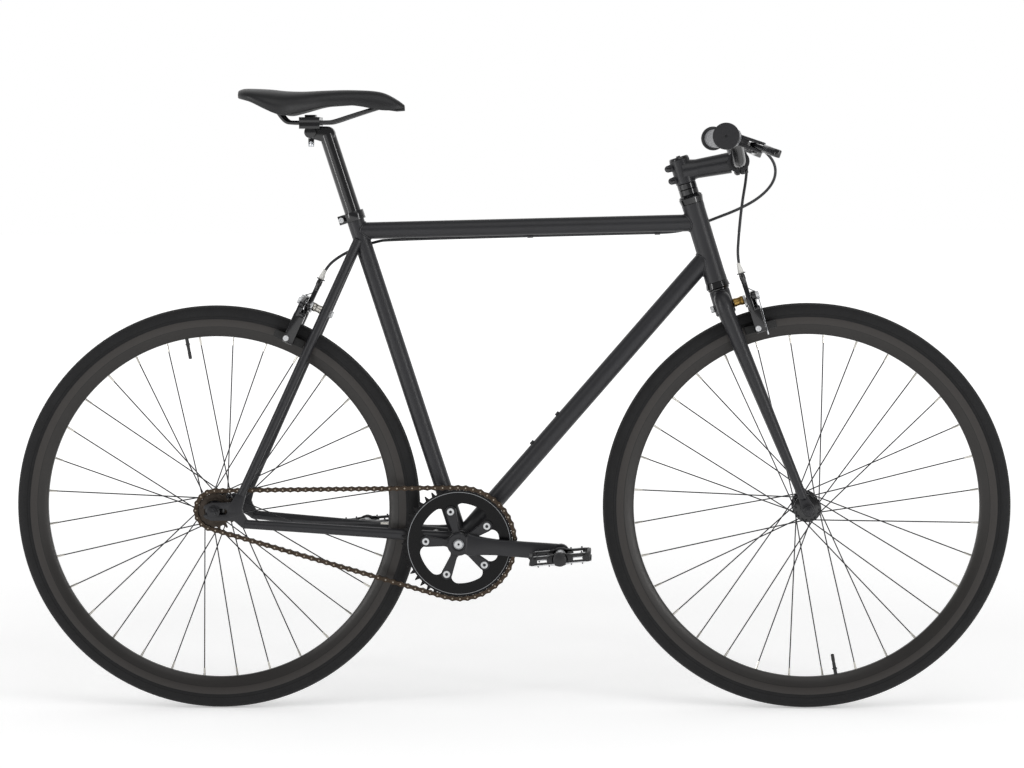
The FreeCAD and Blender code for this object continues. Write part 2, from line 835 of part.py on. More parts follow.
def wheel(name, centre, flange_spacing, valve_turn):
    section = wheel_radius - tyre_width / 2
    half_width, half_rim = tyre_width / 2, rim_width / 2
    seat_turn_out = math.asin(half_rim / half_width)
    sweep = 2 * (math.pi - seat_turn_out)
    turns = [seat_turn_out + sweep * k / tyre_sides for k in range(tyre_sides + 1)]
    tyre = [(section - half_width * math.cos(a), half_width * math.sin(a)) for a in turns]
    save(name + "_tyre", turned(tyre, centre, Y_AXIS, wheel_sides))
    rim_radius = section - half_width * math.cos(seat_turn_out)
    bed = rim_radius - rim_depth
    rim = turned([(rim_radius, -half_rim), (rim_radius, half_rim), (rim_radius - rim_track, half_rim),
                  (bed, rim_bed_width / 2), (bed, -rim_bed_width / 2), (rim_radius - rim_track, -half_rim)],
                 centre, Y_AXIS, wheel_sides)
    valve_way = V(math.cos(math.radians(valve_turn)), 0, math.sin(math.radians(valve_turn)))
    valve = rod(centre + valve_way * (bed - valve_length), centre + valve_way * bed, valve_radius,
                small_sides)
    save(name + "_rim", rim, valve.cut(rim))
    spokes = []
    per_side = spoke_count // 2
    step = 2 * math.pi / per_side
    for side in SIDES:
        for k in range(per_side):
            leading = 1 if k % 2 else -1
            at_hub = step * (k + side * spoke_offset_share)
            at_rim = at_hub + leading * step * spoke_crossings
            offset = spoke_out_offset if leading > 0 else -spoke_in_offset
            across = side * (flange_spacing / 2 + offset)
            start = centre + V(spoke_circle_radius * math.cos(at_hub), across,
                               spoke_circle_radius * math.sin(at_hub))
            end = centre + V(math.cos(at_rim), 0, math.sin(at_rim)) * (bed - spoke_inset)
            spokes.append(rod(start, end, spoke_radius, spoke_sides))
    save(name + "_spokes", *spokes)


def hub_outline(right_end, left_end, boss, body, flange_spacing, bore):
    inner = flange_spacing / 2 - flange_thickness / 2
    outer = flange_spacing / 2 + flange_thickness / 2
    return [(bore, -right_end), (boss, -right_end), (boss, -outer), (flange_radius, -outer),
            (flange_radius, -inner),
            (body, -inner), (body, inner), (flange_radius, inner), (flange_radius, outer), (boss, outer),
            (boss, left_end), (bore, left_end)]


def axle_set(centre, radius, length, spacing, plate, right_end, left_end):
    half = Y_AXIS * (length / 2)
    thread = Y_AXIS * (spacing / 2 + plate + washer_thickness + axle_nut_length)
    axle = joined(
        rod(centre - thread, centre + thread, radius),
        shaft(centre + thread, centre + half, radius - axle_tip_step),
        shaft(centre - thread, centre - half, radius - axle_tip_step),
        rod(centre - Y_AXIS * (spacing / 2), centre - Y_AXIS * (right_end + working_gap), locknut_radius),
        rod(centre + Y_AXIS * (left_end + working_gap), centre + Y_AXIS * (spacing / 2), locknut_radius),
    )
    solids = [axle]
    for side in SIDES:
        face = centre + Y_AXIS * (side * (spacing / 2 + plate))
        seat_face = face + Y_AXIS * (side * washer_thickness)
        nut = joined(rod(face, seat_face, washer_radius),
                     rod(seat_face, seat_face + Y_AXIS * (side * axle_nut_length), axle_nut_radius,
                         hex_sides))
        solids.append(nut.cut(axle))
    return solids


def wheels_and_hubs():
    wheel("rear", rear_hub_centre, rear_flange_spacing, rear_valve_turn)
    wheel("front", front_hub_centre, front_flange_spacing, front_valve_turn)
    shell = turned(hub_outline(cog_boss_end, left_boss_end, cog_boss_radius, rear_hub_radius,
                               rear_flange_spacing,
                               rear_bearing_radius), rear_hub_centre, Y_AXIS)
    hole = bore_for(rear_axle_radius, round_sides)
    bearings = [ring(rear_hub_centre, Y_AXIS, low, low + rear_bearing_width, rear_bearing_radius, hole)
                for low in (-cog_boss_end, left_boss_end - rear_bearing_width)]
    save("rear_hub", shell, *bearings)
    save("rear_axle",
         *axle_set(rear_hub_centre, rear_axle_radius, rear_axle_length, hub_spacing, dropout_thickness,
                                cog_boss_end, left_boss_end))
    shell = turned(hub_outline(front_boss_end, front_boss_end, front_hub_radius, front_hub_radius,
                               front_flange_spacing, front_bearing_radius), front_hub_centre, Y_AXIS)
    hole = bore_for(front_axle_radius, round_sides)
    bearings = [ring(front_hub_centre, Y_AXIS, low, low + front_bearing_width, front_bearing_radius, hole)
                for low in (-front_boss_end, front_boss_end - front_bearing_width)]
    save("front_hub", shell, *bearings)
    save("front_axle", *axle_set(front_hub_centre, front_axle_radius, front_axle_length, front_spacing,
                                 fork_end_thickness, front_boss_end, front_boss_end))


def pitch_radius(teeth):
    return chain_pitch / (2 * math.sin(math.pi / teeth))


def toothed(teeth, phase):
    # flat toothed disc in the XY plane with a roller seat at each multiple of the tooth step from the phase
    radius = pitch_radius(teeth)
    root, tip = radius - tooth_root_depth, radius + tooth_height
    root_lean, tip_lean = tooth_root_half / root, tooth_tip_half / tip
    step = 2 * math.pi / teeth
    corners = []
    for k in range(teeth):
        seat_at, tip_at = phase + k * step, phase + (k + 0.5) * step
        for r, angle in ((root, seat_at + root_lean), (tip, tip_at - tip_lean), (tip, tip_at + tip_lean),
                         (root, seat_at + step - root_lean)):
            corners.append(V(r * math.cos(angle), r * math.sin(angle), -tooth_thickness / 2))
    face = Part.Face(Part.makePolygon(corners + corners[:1]))
    return face.extrude(Z_AXIS * tooth_thickness)


def chain_layout():
    # pins on both sprockets at their tooth pitch, and the two straight runs between them shared out evenly
    ring_radius, cog_radius = pitch_radius(ring_teeth), pitch_radius(cog_teeth)
    line = V(rear_hub_centre.x - bracket.x, rear_hub_centre.z - bracket.z, 0)
    heading = math.atan2(line.y, line.x)
    lean = math.acos((ring_radius - cog_radius) / line.Length)
    ring_step, cog_step = 2 * math.pi / ring_teeth, 2 * math.pi / cog_teeth
    ring_phase, cog_phase = heading - lean, heading - lean
    ring_pins = int((2 * math.pi - 2 * lean) / ring_step) + 1
    cog_pins = int(2 * lean / cog_step) + 1

    def pins(centre, radius, start, step, count):
        turns = [start + step * k for k in range(count)]
        return [V(centre.x + radius * math.cos(a), centre.z + radius * math.sin(a), 0) for a in turns]

    on_ring = pins(bracket, ring_radius, ring_phase, -ring_step, ring_pins)
    on_cog = pins(rear_hub_centre, cog_radius, cog_phase, cog_step, cog_pins)
    on_cog.reverse()

    def between(start, end, count):
        return [start + (end - start) * (k / count) for k in range(1, count)]

    spans = [(on_ring[-1], on_cog[0]), (on_cog[-1], on_ring[0])]
    counts = [round((end - start).Length / chain_pitch) for start, end in spans]
    if (ring_pins + cog_pins + sum(counts)) % 2:
        counts[0] += 1
    loop = on_ring + between(*spans[0], counts[0]) + on_cog + between(*spans[1], counts[1])
    return loop, ring_phase, cog_phase


def chain_solids(loop):
    origin = V(0, -chain_line, 0)
    solids = []
    for k, pin in enumerate(loop):
        ahead = loop[(k + 1) % len(loop)] - pin
        along, up = unit(ahead), V(-ahead.y, ahead.x, 0).normalize()
        span = ahead.Length
        shares = ((-link_nose, 0), (-link_flat, -link_half_height), (span + link_flat, -link_half_height),
                  (span + link_nose, 0), (span + link_flat, link_half_height),
                  (-link_flat, link_half_height))
        corners = [pin + along * a + up * b for a, b in shares]
        gap = roller_width / 2 + (link_plate if k % 2 else 0)
        for side in SIDES:
            low = side * gap
            shifted = [V(c.x, c.y, low) for c in corners]
            plate = Part.Face(Part.makePolygon(shifted + shifted[:1])).extrude(Z_AXIS * (side * link_plate))
            solids.append(plate)
        half = Z_AXIS * (roller_width / 2)
        solids.append(rod(pin - half, pin + half, roller_radius, roller_sides))
    return [placed(s, origin, X_AXIS, Z_AXIS) for s in solids]


def crank_arm(side, heading):
    along = V(math.cos(heading), 0, math.sin(heading))
    up = V(-math.sin(heading), 0, math.cos(heading))

    def section(distance, width, inner, outer):
        half, corner = width / 2, crank_corner
        outline = ((-half, inner), (half, inner), (half, outer - corner), (half - corner, outer),
                   (-half + corner, outer), (-half, outer - corner))
        corners = [bracket + along * distance + up * a + Y_AXIS * (side * b) for a, b in outline]
        return corners

    arm = skinned([
        section(0, crank_root_width, crank_hub_outer - crank_root_thickness, crank_hub_outer),
        section(crank_length, crank_end_width, crank_end_inner, crank_end_outer)])
    eye = bracket + along * crank_length
    hub = rod(bracket + Y_AXIS * (side * crank_hub_inner), bracket + Y_AXIS * (side * crank_hub_outer),
              crank_hub_radius)
    boss = rod(eye + Y_AXIS * (side * crank_end_inner), eye + Y_AXIS * (side * crank_end_outer),
               crank_eye_radius)
    recess = rod(bracket + Y_AXIS * (side * (crank_hub_outer - crank_recess_depth)),
                 bracket + Y_AXIS * (side * (crank_hub_outer + cut_overrun)), crank_recess_radius)
    through = Y_AXIS * crank_length
    bores = [recess, rod(bracket - through, bracket + through, bore_for(spindle_radius, round_sides)),
             rod(eye - through, eye + through, bore_for(pedal_axle_radius, round_sides))]
    return [arm, hub, boss], bores, eye


def drive():
    loop, ring_phase, cog_phase = chain_layout()
    print("chain links", len(loop))
    save("chain", *chain_solids(loop))
    heading = math.radians(crank_angle)
    arm_step = 2 * math.pi / spider_arms
    ring_face = chain_line + tooth_thickness / 2
    bolt_places = [heading + arm_step * (k + 0.5) for k in range(spider_arms)]

    chainring = toothed(ring_teeth, ring_phase)
    depth = Z_AXIS * (tooth_thickness / 2 + cut_overrun)
    disc = rod(depth * -1, depth, ring_inner_radius, 2 * round_sides)
    tabs, spider, holes, bolts = [], [], [], []
    for turn in bolt_places:
        way = V(math.cos(turn), math.sin(turn), 0)
        spot = way * bolt_circle_radius
        root = way * (ring_inner_radius + ring_tab_radius)
        tabs.append(link((spot.x, spot.y), (root.x, root.y), ring_tab_radius, ring_tab_radius * 2,
                         -tooth_thickness / 2, tooth_thickness / 2))
        spider.append(link((0, 0), (spot.x, spot.y), spider_root_radius, spider_tip_radius,
                           tooth_thickness / 2, tooth_thickness / 2 + spider_thickness))
        outer, inner = tooth_thickness / 2 + spider_thickness, -tooth_thickness / 2
        low, high = inner - ring_bolt_head_height, outer + ring_bolt_head_height
        holes.append(rod(spot + Z_AXIS * low, spot + Z_AXIS * high, ring_bolt_radius, small_sides))
        heads = [rod(spot + Z_AXIS * outer, spot + Z_AXIS * high, ring_bolt_head, small_sides),
                 rod(spot + Z_AXIS * low, spot + Z_AXIS * inner, ring_bolt_head, small_sides)]
        bolts.append(joined(holes[-1], *heads))
    chainring = joined(chainring.cut(disc), *[tab.common(disc) for tab in tabs]).cut(holes)
    place = V(bracket.x, -chain_line, bracket.z)
    save("chainring", placed(chainring, place, X_AXIS, Z_AXIS))

    pieces, bores, right_eye = crank_arm(-1, heading)
    arms = [placed(s, place, X_AXIS, Z_AXIS) for s in spider]
    save("right_crank",
         joined(*pieces, *arms).cut(bores + [placed(h, place, X_AXIS, Z_AXIS) for h in holes]))
    pieces, bores, left_eye = crank_arm(1, heading + math.pi)
    save("left_crank", joined(*pieces).cut(bores))
    half = Y_AXIS * (spindle_length / 2)
    save("crank_spindle", shaft(bracket - half, bracket + half, spindle_radius))
    crank_bolts = [rod(bracket + half * side, bracket + (half + Y_AXIS * crank_bolt_height) * side,
                       crank_bolt_radius)
                   for side in SIDES]
    save("crank_bolts", *crank_bolts, *[placed(b, place, X_AXIS, Z_AXIS) for b in bolts])

    cog = toothed(cog_teeth, cog_phase)
    cog = cog.cut(rod(depth * -1, depth, cog_boss_radius))
    lockring = ring(V(0, 0, 0), Z_AXIS, tooth_thickness / 2, cog_boss_end - chain_line, lockring_radius,
                    cog_boss_radius)
    hub_place = V(rear_hub_centre.x, -chain_line, rear_hub_centre.z)
    save("rear_cog", placed(cog, hub_place, X_AXIS, Z_AXIS), placed(lockring, hub_place, X_AXIS, Z_AXIS))
    pedals(right_eye, left_eye)


def pedal(side, eye, name):
    half_length, half_height = pedal_length / 2, pedal_height / 2

    def outline(half, low, high, corner):
        return [(-half + corner, low), (half - corner, low), (half, low + corner), (half, high - corner),
                (half - corner, high), (-half + corner, high), (-half, high - corner), (-half, low + corner)]

    def slab(points):
        corners = [V(x, y * side, -half_height) for x, y in points]
        return Part.Face(Part.makePolygon(corners + corners[:1])).extrude(Z_AXIS * pedal_height)

    cage = slab(outline(half_length, pedal_inner, pedal_outer, pedal_corner))
    hollow = slab(outline(half_length - pedal_wall, pedal_inner + pedal_wall, pedal_outer - pedal_wall,
                          pedal_corner))
    start = crank_end_outer + pedal_collar_length + working_gap
    barrel = rod(Y_AXIS * (side * start), Y_AXIS * (side * pedal_cap), pedal_barrel_radius)
    bore = rod(Y_AXIS * (side * (start - cut_overrun)), Y_AXIS * (side * (pedal_axle_end + working_gap)),
               bore_for(pedal_axle_radius, round_sides))
    body = joined(cage.cut(hollow), barrel).cut(bore)
    tilt = math.radians(pedal_tilt)
    save(name, placed(body, eye, V(math.cos(tilt), 0, math.sin(tilt)), Y_AXIS))


def pedals(right_eye, left_eye):
    axles = []
    for side, eye, name in ((-1, right_eye, "right_pedal"), (1, left_eye, "left_pedal")):
        out = Y_AXIS * side
        axles.append(joined(
            shaft(eye + out * crank_end_inner, eye + out * pedal_axle_end, pedal_axle_radius),
            rod(eye + out * crank_end_outer, eye + out * (crank_end_outer + pedal_collar_length),
                pedal_collar_radius)))
        pedal(side, eye, name)
    save("pedal_axles", *axles)


def fork():
    save("fork_steerer",
         pipe(steer(0, 0, steerer_low), steer(0, 0, stem_high - steerer_short), steerer_radius,
                              steerer_radius - steerer_wall))
    half, arch_top = blade_spread / 2, blade_top + crown_elbow_radius
    arch = [steer(0, -half, blade_top), steer(0, -half, arch_top), steer(0, half, arch_top),
            steer(0, half, blade_top)]
    crown = joined(bent_rod(route(arch, crown_elbow_radius)[0], blade_top_radius, round_sides),
                   rod(steer(0, 0, crown_stem_low), steer(0, 0, fork_length), crown_stem_radius))
    blades = []
    for side in SIDES:
        start = steer(0, side * blade_spread / 2, blade_top)
        tip_across = side * (front_spacing + fork_end_thickness) / 2
        tip = steer(fork_rake - blade_tip_back, tip_across, blade_tip_height)
        lead = unit(start - tip)
        over = start + lead * blade_top_radius
        blade = taper(tip, over, blade_tip_radius, blade_top_radius)
        above = placed(block((-wheel_radius, -wheel_radius, 0), (wheel_radius, wheel_radius, wheel_radius)),
                       steer(0, 0, blade_top), steer_out, Y_AXIS)
        end = fork_end(tip_across, tip)
        blades.append(blade.cut([above, end]))
        blades.append(end)
    bolt_core = rod(steer(-crown_stem_low, 0, brake_bolt_height),
                    steer(crown_stem_low, 0, brake_bolt_height),
                    brake_pin_radius, small_sides)
    steerer_core = rod(steer(0, 0, steerer_low), steer(0, 0, stem_high), steerer_radius)
    save("fork_crown", crown.cut([bolt_core, steerer_core]))
    save("fork_blades", *blades)


def fork_end(across, tip):
    low, high = -fork_end_thickness / 2, fork_end_thickness / 2
    way = tip - front_hub_centre
    plate = link((0, 0), (way.x, way.z), fork_end_radius, blade_tip_radius, low, high)
    slot_half = bore_for(front_axle_radius, 2 * link_steps)
    slot = link((0, 0), (-way.x, -way.z), slot_half, slot_half, low - cut_overrun, high + cut_overrun)
    return placed(plate.cut(slot), V(front_hub_centre.x, across, front_hub_centre.z), X_AXIS, Z_AXIS)


stem_turn = math.pi / 2 - head_turn - math.radians(stem_drop_angle)
stem_ahead = V(math.cos(stem_turn), 0, math.sin(stem_turn))
stem_over = V(-math.sin(stem_turn), 0, math.cos(stem_turn))
stem_middle = steer(0, 0, (stem_low + stem_high) / 2)
bar_centre = stem_middle + stem_ahead * stem_length


def stem():
    wide = Y_AXIS * (bar_clamp_width / 2)
    clamp = rod(bar_centre - wide, bar_centre + wide, bar_clamp_radius)
    lugs = [placed(block((-lug_depth, -bar_clamp_width / 2, low), (lug_depth, bar_clamp_width / 2, high)),
                   bar_centre, stem_ahead, Y_AXIS)
            for low, high in ((lug_low, lug_high), (-lug_high, -lug_low))]
    bar_bore = rod(bar_centre - wide * 2, bar_centre + wide * 2, bar_centre_radius)
    ahead = placed(block((-stem_split / 2, -bar_clamp_width, -stem_length),
                         (stem_length, bar_clamp_width, stem_length)), bar_centre, stem_ahead, Y_AXIS)
    behind = placed(block((-stem_length, -bar_clamp_width, -stem_length),
                          (stem_split / 2, bar_clamp_width, stem_length)), bar_centre, stem_ahead, Y_AXIS)
    bolts = []
    for across in (-stem_bolt_spacing / 2, stem_bolt_spacing / 2):
        for over in (-stem_bolt_height, stem_bolt_height):
            spot = bar_centre + Y_AXIS * across + stem_over * over
            face = spot + stem_ahead * lug_depth
            head = rod(face, face + stem_ahead * stem_bolt_head_height, stem_bolt_head, small_sides)
            bolts.append(joined(rod(spot - stem_ahead * lug_depth, face, stem_bolt_radius, hex_sides), head))
    body = clamp.fuse(lugs)
    save("stem_faceplate", body.cut([behind, bar_bore] + bolts))

    ears = placed(block((-ear_back, -ear_width / 2, stem_low + ear_inset),
                        (0, ear_width / 2, stem_high - ear_inset)),
                  steer_foot, steer_out, Y_AXIS)
    slit = placed(block((-ear_back - cut_overrun, -clamp_slit / 2, stem_low - cut_overrun),
                        (0, clamp_slit / 2, stem_high + cut_overrun)), steer_foot, steer_out, Y_AXIS)
    for up in (stem_low + ear_bolt_inset, stem_high - ear_bolt_inset):
        end = ear_width / 2
        shank = rod(steer(-ear_bolt_back, -end, up), steer(-ear_bolt_back, end, up), stem_bolt_radius,
                    hex_sides)
        head = rod(steer(-ear_bolt_back, -end, up), steer(-ear_bolt_back, -end - stem_bolt_head_height, up),
                     stem_bolt_head, small_sides)
        bolts.append(joined(shank, head))
    column = rod(steer(0, 0, stem_low), steer(0, 0, stem_high), stem_clamp_radius)
    extension = taper(stem_middle, bar_centre, stem_back_radius, stem_front_radius)
    steerer_core = rod(steer(0, 0, stem_low - cut_overrun), steer(0, 0, stem_high + cut_overrun),
                       steerer_radius)
    whole = joined(column, extension, clamp, ears, *lugs)
    save("stem", whole.cut([ahead, bar_bore, steerer_core, slit] + bolts))
    cap = turned([(0, stem_high), (cap_radius, stem_high),
                  (cap_radius - cap_thickness / 2, stem_high + cap_thickness),
                  (0, stem_high + cap_thickness)], steer_foot, steer_up)
    cap_bolt = rod(steer(0, 0, stem_high + cap_thickness),
                   steer(0, 0, stem_high + cap_thickness + cap_thickness / 2),
                     stem_bolt_head, small_sides)
    save("stem_bolts", *bolts, cap, cap_bolt)


def bar_points():
    half = [V(0, bar_bend_in, 0), V(-bar_bend_back, bar_bend_out, bar_bend_rise),
            V(-bar_back, bar_half, bar_rise)]
    left = [bar_centre + p for p in half]
    right = [V(p.x, -p.y, p.z) for p in reversed(left)]
    return right + left


def handlebar():
    points = bar_points()
    half = Y_AXIS * (bar_centre_width / 2)
    bar = joined(bent_rod(route(points, bar_bend_radius)[0], bar_radius, round_sides),
                 rod(bar_centre - half, bar_centre + half, bar_centre_radius))
    save("handlebar", bar)
    outline = [(0, -grip_cap), (grip_flange_radius, -grip_cap), (grip_flange_radius, grip_flange),
               (grip_radius, grip_flange), (grip_radius, grip_length), (0, grip_length)]
    grip = turned(outline, points[-1], points[-2] - points[-1]).cut(bar)
    save("grips", mirrored(grip), grip)
    return bar


def lever_frame():
    points = bar_points()
    outward = unit(points[-1] - points[-2])
    spot = points[-2] + outward * ((lever_place - bar_bend_out) / outward.y)
    slope = math.radians(lever_slope)
    raw = V(math.cos(slope), 0, -math.sin(slope))
    forward = unit(raw - outward * raw.dot(outward))
    return spot, forward, outward


def levers(bar):
    spot, forward, outward = lever_frame()
    half_ear, half_lever = perch_thickness / 2, lever_thickness / 2 + working_gap
    half_width = perch_width / 2
    band = rod(Y_AXIS * -half_width, Y_AXIS * half_width, perch_radius)
    nose = link((0, 0), (perch_pivot, 0), half_width, perch_nose_radius, -half_ear, half_ear)
    slot = block((perch_pivot - perch_neck, -crank_length, -half_lever),
                 (crank_length, crank_length, half_lever))
    pin = rod(V(perch_pivot, 0, -half_ear), V(perch_pivot, 0, half_ear), lever_pin_radius, small_sides)
    barrel_start = V(lever_barrel_ahead, 0, 0)
    barrel_end = barrel_start - Y_AXIS * (half_width + lever_barrel_length)
    body = joined(band, nose, rod(barrel_start, barrel_end, lever_barrel_radius, small_sides))
    perch = placed(body.cut([slot, pin]), spot, forward, outward).cut(bar)
    clamps = [perch, placed(pin, spot, forward, outward)]
    save("lever_clamps", *clamps, *[mirrored(s) for s in clamps])

    places = [(perch_pivot, 0, lever_eye_radius)] + list(lever_places.values())
    low, high = -lever_thickness / 2, lever_thickness / 2
    links = [link(a[:2], b[:2], a[2], b[2], low, high) for a, b in zip(places, places[1:])]
    blade = drilled(joined(*links), V(perch_pivot, 0, low), V(perch_pivot, 0, high), lever_pin_radius)
    blade = placed(blade, spot, forward, outward)
    save("left_lever", blade)
    save("right_lever", mirrored(blade))
    return spot + forward * lever_barrel_ahead - outward * (half_width + lever_barrel_length), outward


def caliper(name, origin, across, up, standoff, mount_half, reach):
    # in the caliper's own frame: X across, Y up, Z out from the mounting bolt's seat
    side_low = standoff + bracket_thickness + arm_layer_gap
    side_high = side_low + arm_thickness
    cross_low, cross_high = side_high + arm_layer_gap, side_high + arm_layer_gap + arm_thickness
    pad_out = (side_high + cross_low) / 2

    def pad(side):
        inner, outer = rim_width / 2 + pad_gap, pad_arm_offset - arm_end_radius
        shoe = block((min(side * inner, side * outer), -reach - pad_height / 2, pad_out - pad_length / 2),
                     (max(side * inner, side * outer), -reach + pad_height / 2, pad_out + pad_length / 2))
        return shoe

    def pad_bolt(side, low, high):
        out = (low + high) / 2
        start = V(side * (pad_arm_offset + arm_end_radius), -reach, out)
        return rod(start, start + X_AXIS * (side * pad_bolt_length), pad_bolt_radius, hex_sides)

    cross = drilled(joined(
        link((-cable_offset, anchor_rise), (0, 0), anchor_radius, arm_eye_radius, cross_low, cross_high),
        link((0, 0), (shoulder_offset, -shoulder_drop), arm_eye_radius, shoulder_radius, cross_low,
             cross_high),
        link((shoulder_offset, -shoulder_drop), (pad_arm_offset, -reach), shoulder_radius, arm_end_radius,
             cross_low, cross_high),
    ), V(0, 0, cross_low), V(0, 0, cross_high), brake_pin_radius)
    side_eye = (-side_pivot_offset, -shoulder_drop)
    side_shoulder = (-cable_offset, -shoulder_drop)
    side_arm = joined(
        link((-cable_offset, adjuster_rise), side_shoulder, anchor_radius, shoulder_radius, side_low,
             side_high),
        link(side_shoulder, side_eye, shoulder_radius, shoulder_radius + running_gap, side_low, side_high),
        link(side_shoulder, (-pad_arm_offset, -reach), shoulder_radius, arm_end_radius, side_low, side_high),
    )
    side_arm = drilled(side_arm, V(*side_eye, side_low), V(*side_eye, side_high), brake_pin_radius)
    side_arm = side_arm.cut(rod(V(0, 0, 0), V(0, 0, cross_low), arm_eye_radius))
    middle = (side_low + side_high) / 2
    adjuster = rod(V(-cable_offset, adjuster_rise, middle), V(-cable_offset, adjuster_top, middle),
                   adjuster_radius,
                   small_sides)
    anchor = rod(V(-cable_offset, anchor_rise, cross_high),
                   V(-cable_offset, anchor_rise, cross_high + pad_bolt_length), pad_bolt_radius, hex_sides)

    head_low = cross_high + working_gap
    bolt = joined(
        rod(V(0, 0, -mount_half - brake_nut_length), V(0, 0, head_low), brake_pin_radius, small_sides),
        rod(V(0, 0, head_low), V(0, 0, head_low + brake_nut_length), brake_nut_radius, hex_sides),
        link((0, 0), side_eye, arm_eye_radius, shoulder_radius, standoff, standoff + bracket_thickness),
        rod(V(*side_eye, standoff), V(*side_eye, side_high), brake_pin_radius, small_sides),
    )
    rear_nut = rod(V(0, 0, -mount_half), V(0, 0, -mount_half - brake_nut_length), brake_nut_radius,
                   hex_sides)
    spacer = rod(V(0, 0, mount_half), V(0, 0, standoff), brake_nut_radius, hex_sides)
    bolt_core = rod(V(0, 0, -standoff), V(0, 0, standoff), brake_pin_radius, small_sides)
    groups = {
        "_caliper_cross_arm": [cross, pad(1), pad_bolt(1, cross_low, cross_high), anchor],
        "_caliper_side_arm": [side_arm, pad(-1), pad_bolt(-1, side_low, side_high), adjuster.cut(side_arm)],
        "_brake_bolt": [bolt, rear_nut.cut(bolt_core), spacer.cut(bolt_core)],
    }
    for suffix, solids in groups.items():
        save(name + suffix, *[placed(s, origin, across, up) for s in solids])
    out = across.cross(up)
    return origin - across * cable_offset + up * (adjuster_top + working_gap) + out * middle


def reach_to_pad(origin, up, centre, standoff):
    out_place = standoff + bracket_thickness + arm_thickness + 1.5 * arm_layer_gap
    offset = centre - origin
    out = V(up.z, 0, -up.x) * (1 if up.x < 0 else -1)
    level = offset.dot(up)
    return -(level + math.sqrt(pad_radius_from_axle**2 - (out_place - offset.dot(out))**2))


def brakes_and_cables(bar):
    start, outward = levers(bar)
    front_place = steer(0, 0, brake_bolt_height)
    front_reach = reach_to_pad(front_place, steer_up, front_hub_centre, front_standoff)
    rear_reach = reach_to_pad(bridge_middle, stay_up, rear_hub_centre, rear_standoff)
    print("pad reach", round(front_reach, 2), round(rear_reach, 2))
    front_end = caliper("front", front_place, Y_AXIS, steer_up, front_standoff, crown_stem_radius,
                        front_reach)
    rear_end = caliper("rear", bridge_middle, Y_AXIS * -1, stay_up, rear_standoff, bridge_radius, rear_reach)
    left_start = start - outward * working_gap
    right_start = V(left_start.x, -left_start.y, left_start.z)
    save("front_brake_cable", cable([
        left_start, left_start - outward * lever_lead, V(396, 62, 925), V(394, 28, 889), V(385, 0, 845),
        V(379, -19, 795),
        front_end + steer_up * front_lead, front_end]))
    first, last = guide_point(guide_along_shares[2]), guide_point(guide_along_shares[0])
    joint = first + top_ahead * (guide_length / 2)
    save("rear_cable_loop", cable([
        right_start, right_start + V(3, 22, 0), V(418, -90, 932), V(438, -62, 908), V(437, -30, 880),
        V(415, 0, 854),
        V(380, 22, 834), V(341, 31, 819), V(302, 28, 804), joint + top_ahead * guide_lead, joint]))
    save("rear_brake_cable", cable([
        joint, last - top_ahead * guide_lead, V(-226, 21, 783), V(-262, 27, 772), V(-292, 28, 756),
        rear_end + stay_up * rear_lead, rear_end]))


frame_tubes()
cable_guides()
headset_and_bracket()
seat_clamp()
seat_post_and_saddle()
wheels_and_hubs()
drive()
fork()
stem()
brakes_and_cables(handlebar())
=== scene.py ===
from math import acos, atan2, cos, degrees, pi, radians, sin, sqrt

import bmesh
import bpy
from mathutils import Matrix, Vector


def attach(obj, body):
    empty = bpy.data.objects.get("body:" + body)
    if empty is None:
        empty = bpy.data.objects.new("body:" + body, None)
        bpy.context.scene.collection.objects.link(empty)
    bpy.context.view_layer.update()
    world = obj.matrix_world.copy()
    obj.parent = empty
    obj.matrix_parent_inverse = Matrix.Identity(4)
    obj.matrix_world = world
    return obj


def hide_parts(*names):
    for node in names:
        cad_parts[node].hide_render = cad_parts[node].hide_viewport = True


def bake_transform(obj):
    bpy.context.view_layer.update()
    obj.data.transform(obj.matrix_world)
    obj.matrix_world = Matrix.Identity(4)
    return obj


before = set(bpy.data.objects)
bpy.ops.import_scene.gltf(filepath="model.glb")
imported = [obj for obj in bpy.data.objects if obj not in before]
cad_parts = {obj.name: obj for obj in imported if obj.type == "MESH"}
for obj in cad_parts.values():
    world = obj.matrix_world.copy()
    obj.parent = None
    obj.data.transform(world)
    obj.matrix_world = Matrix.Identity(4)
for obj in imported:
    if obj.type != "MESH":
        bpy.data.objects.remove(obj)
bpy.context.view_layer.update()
scene = bpy.context.scene
scene.view_settings.view_transform = "Standard"
mm = 0.001
sides = (-1, 1)
print("frame loaded")


# Camera, fitted to the wheels and the straight tubes of the photograph
camera = {"place": (0.1742, -4.8257, 0.9248), "yaw": -2.0413, "pitch": 4.4891, "roll": -0.3381,
          "lens": 102.04, "sensor": 36, "clip": (0.1, 100)}


def addCamera(spec):
    data = bpy.data.cameras.new("camera")
    data.sensor_width, data.lens = spec["sensor"], spec["lens"]
    data.clip_start, data.clip_end = spec["clip"]
    holder = bpy.data.objects.new("camera", data)
    scene.collection.objects.link(holder)
    turns = ((-spec["yaw"], "Z"), (90 - spec["pitch"], "X"), (spec["roll"], "Z"))
    yaw, pitch, roll = (Matrix.Rotation(radians(angle), 4, axis) for angle, axis in turns)
    holder.matrix_world = Matrix.Translation(spec["place"]) @ yaw @ pitch @ roll
    scene.camera = holder


addCamera(camera)


# Shared points and directions, in metres
def at(x, y, z):
    return Vector((x, y, z)) * mm


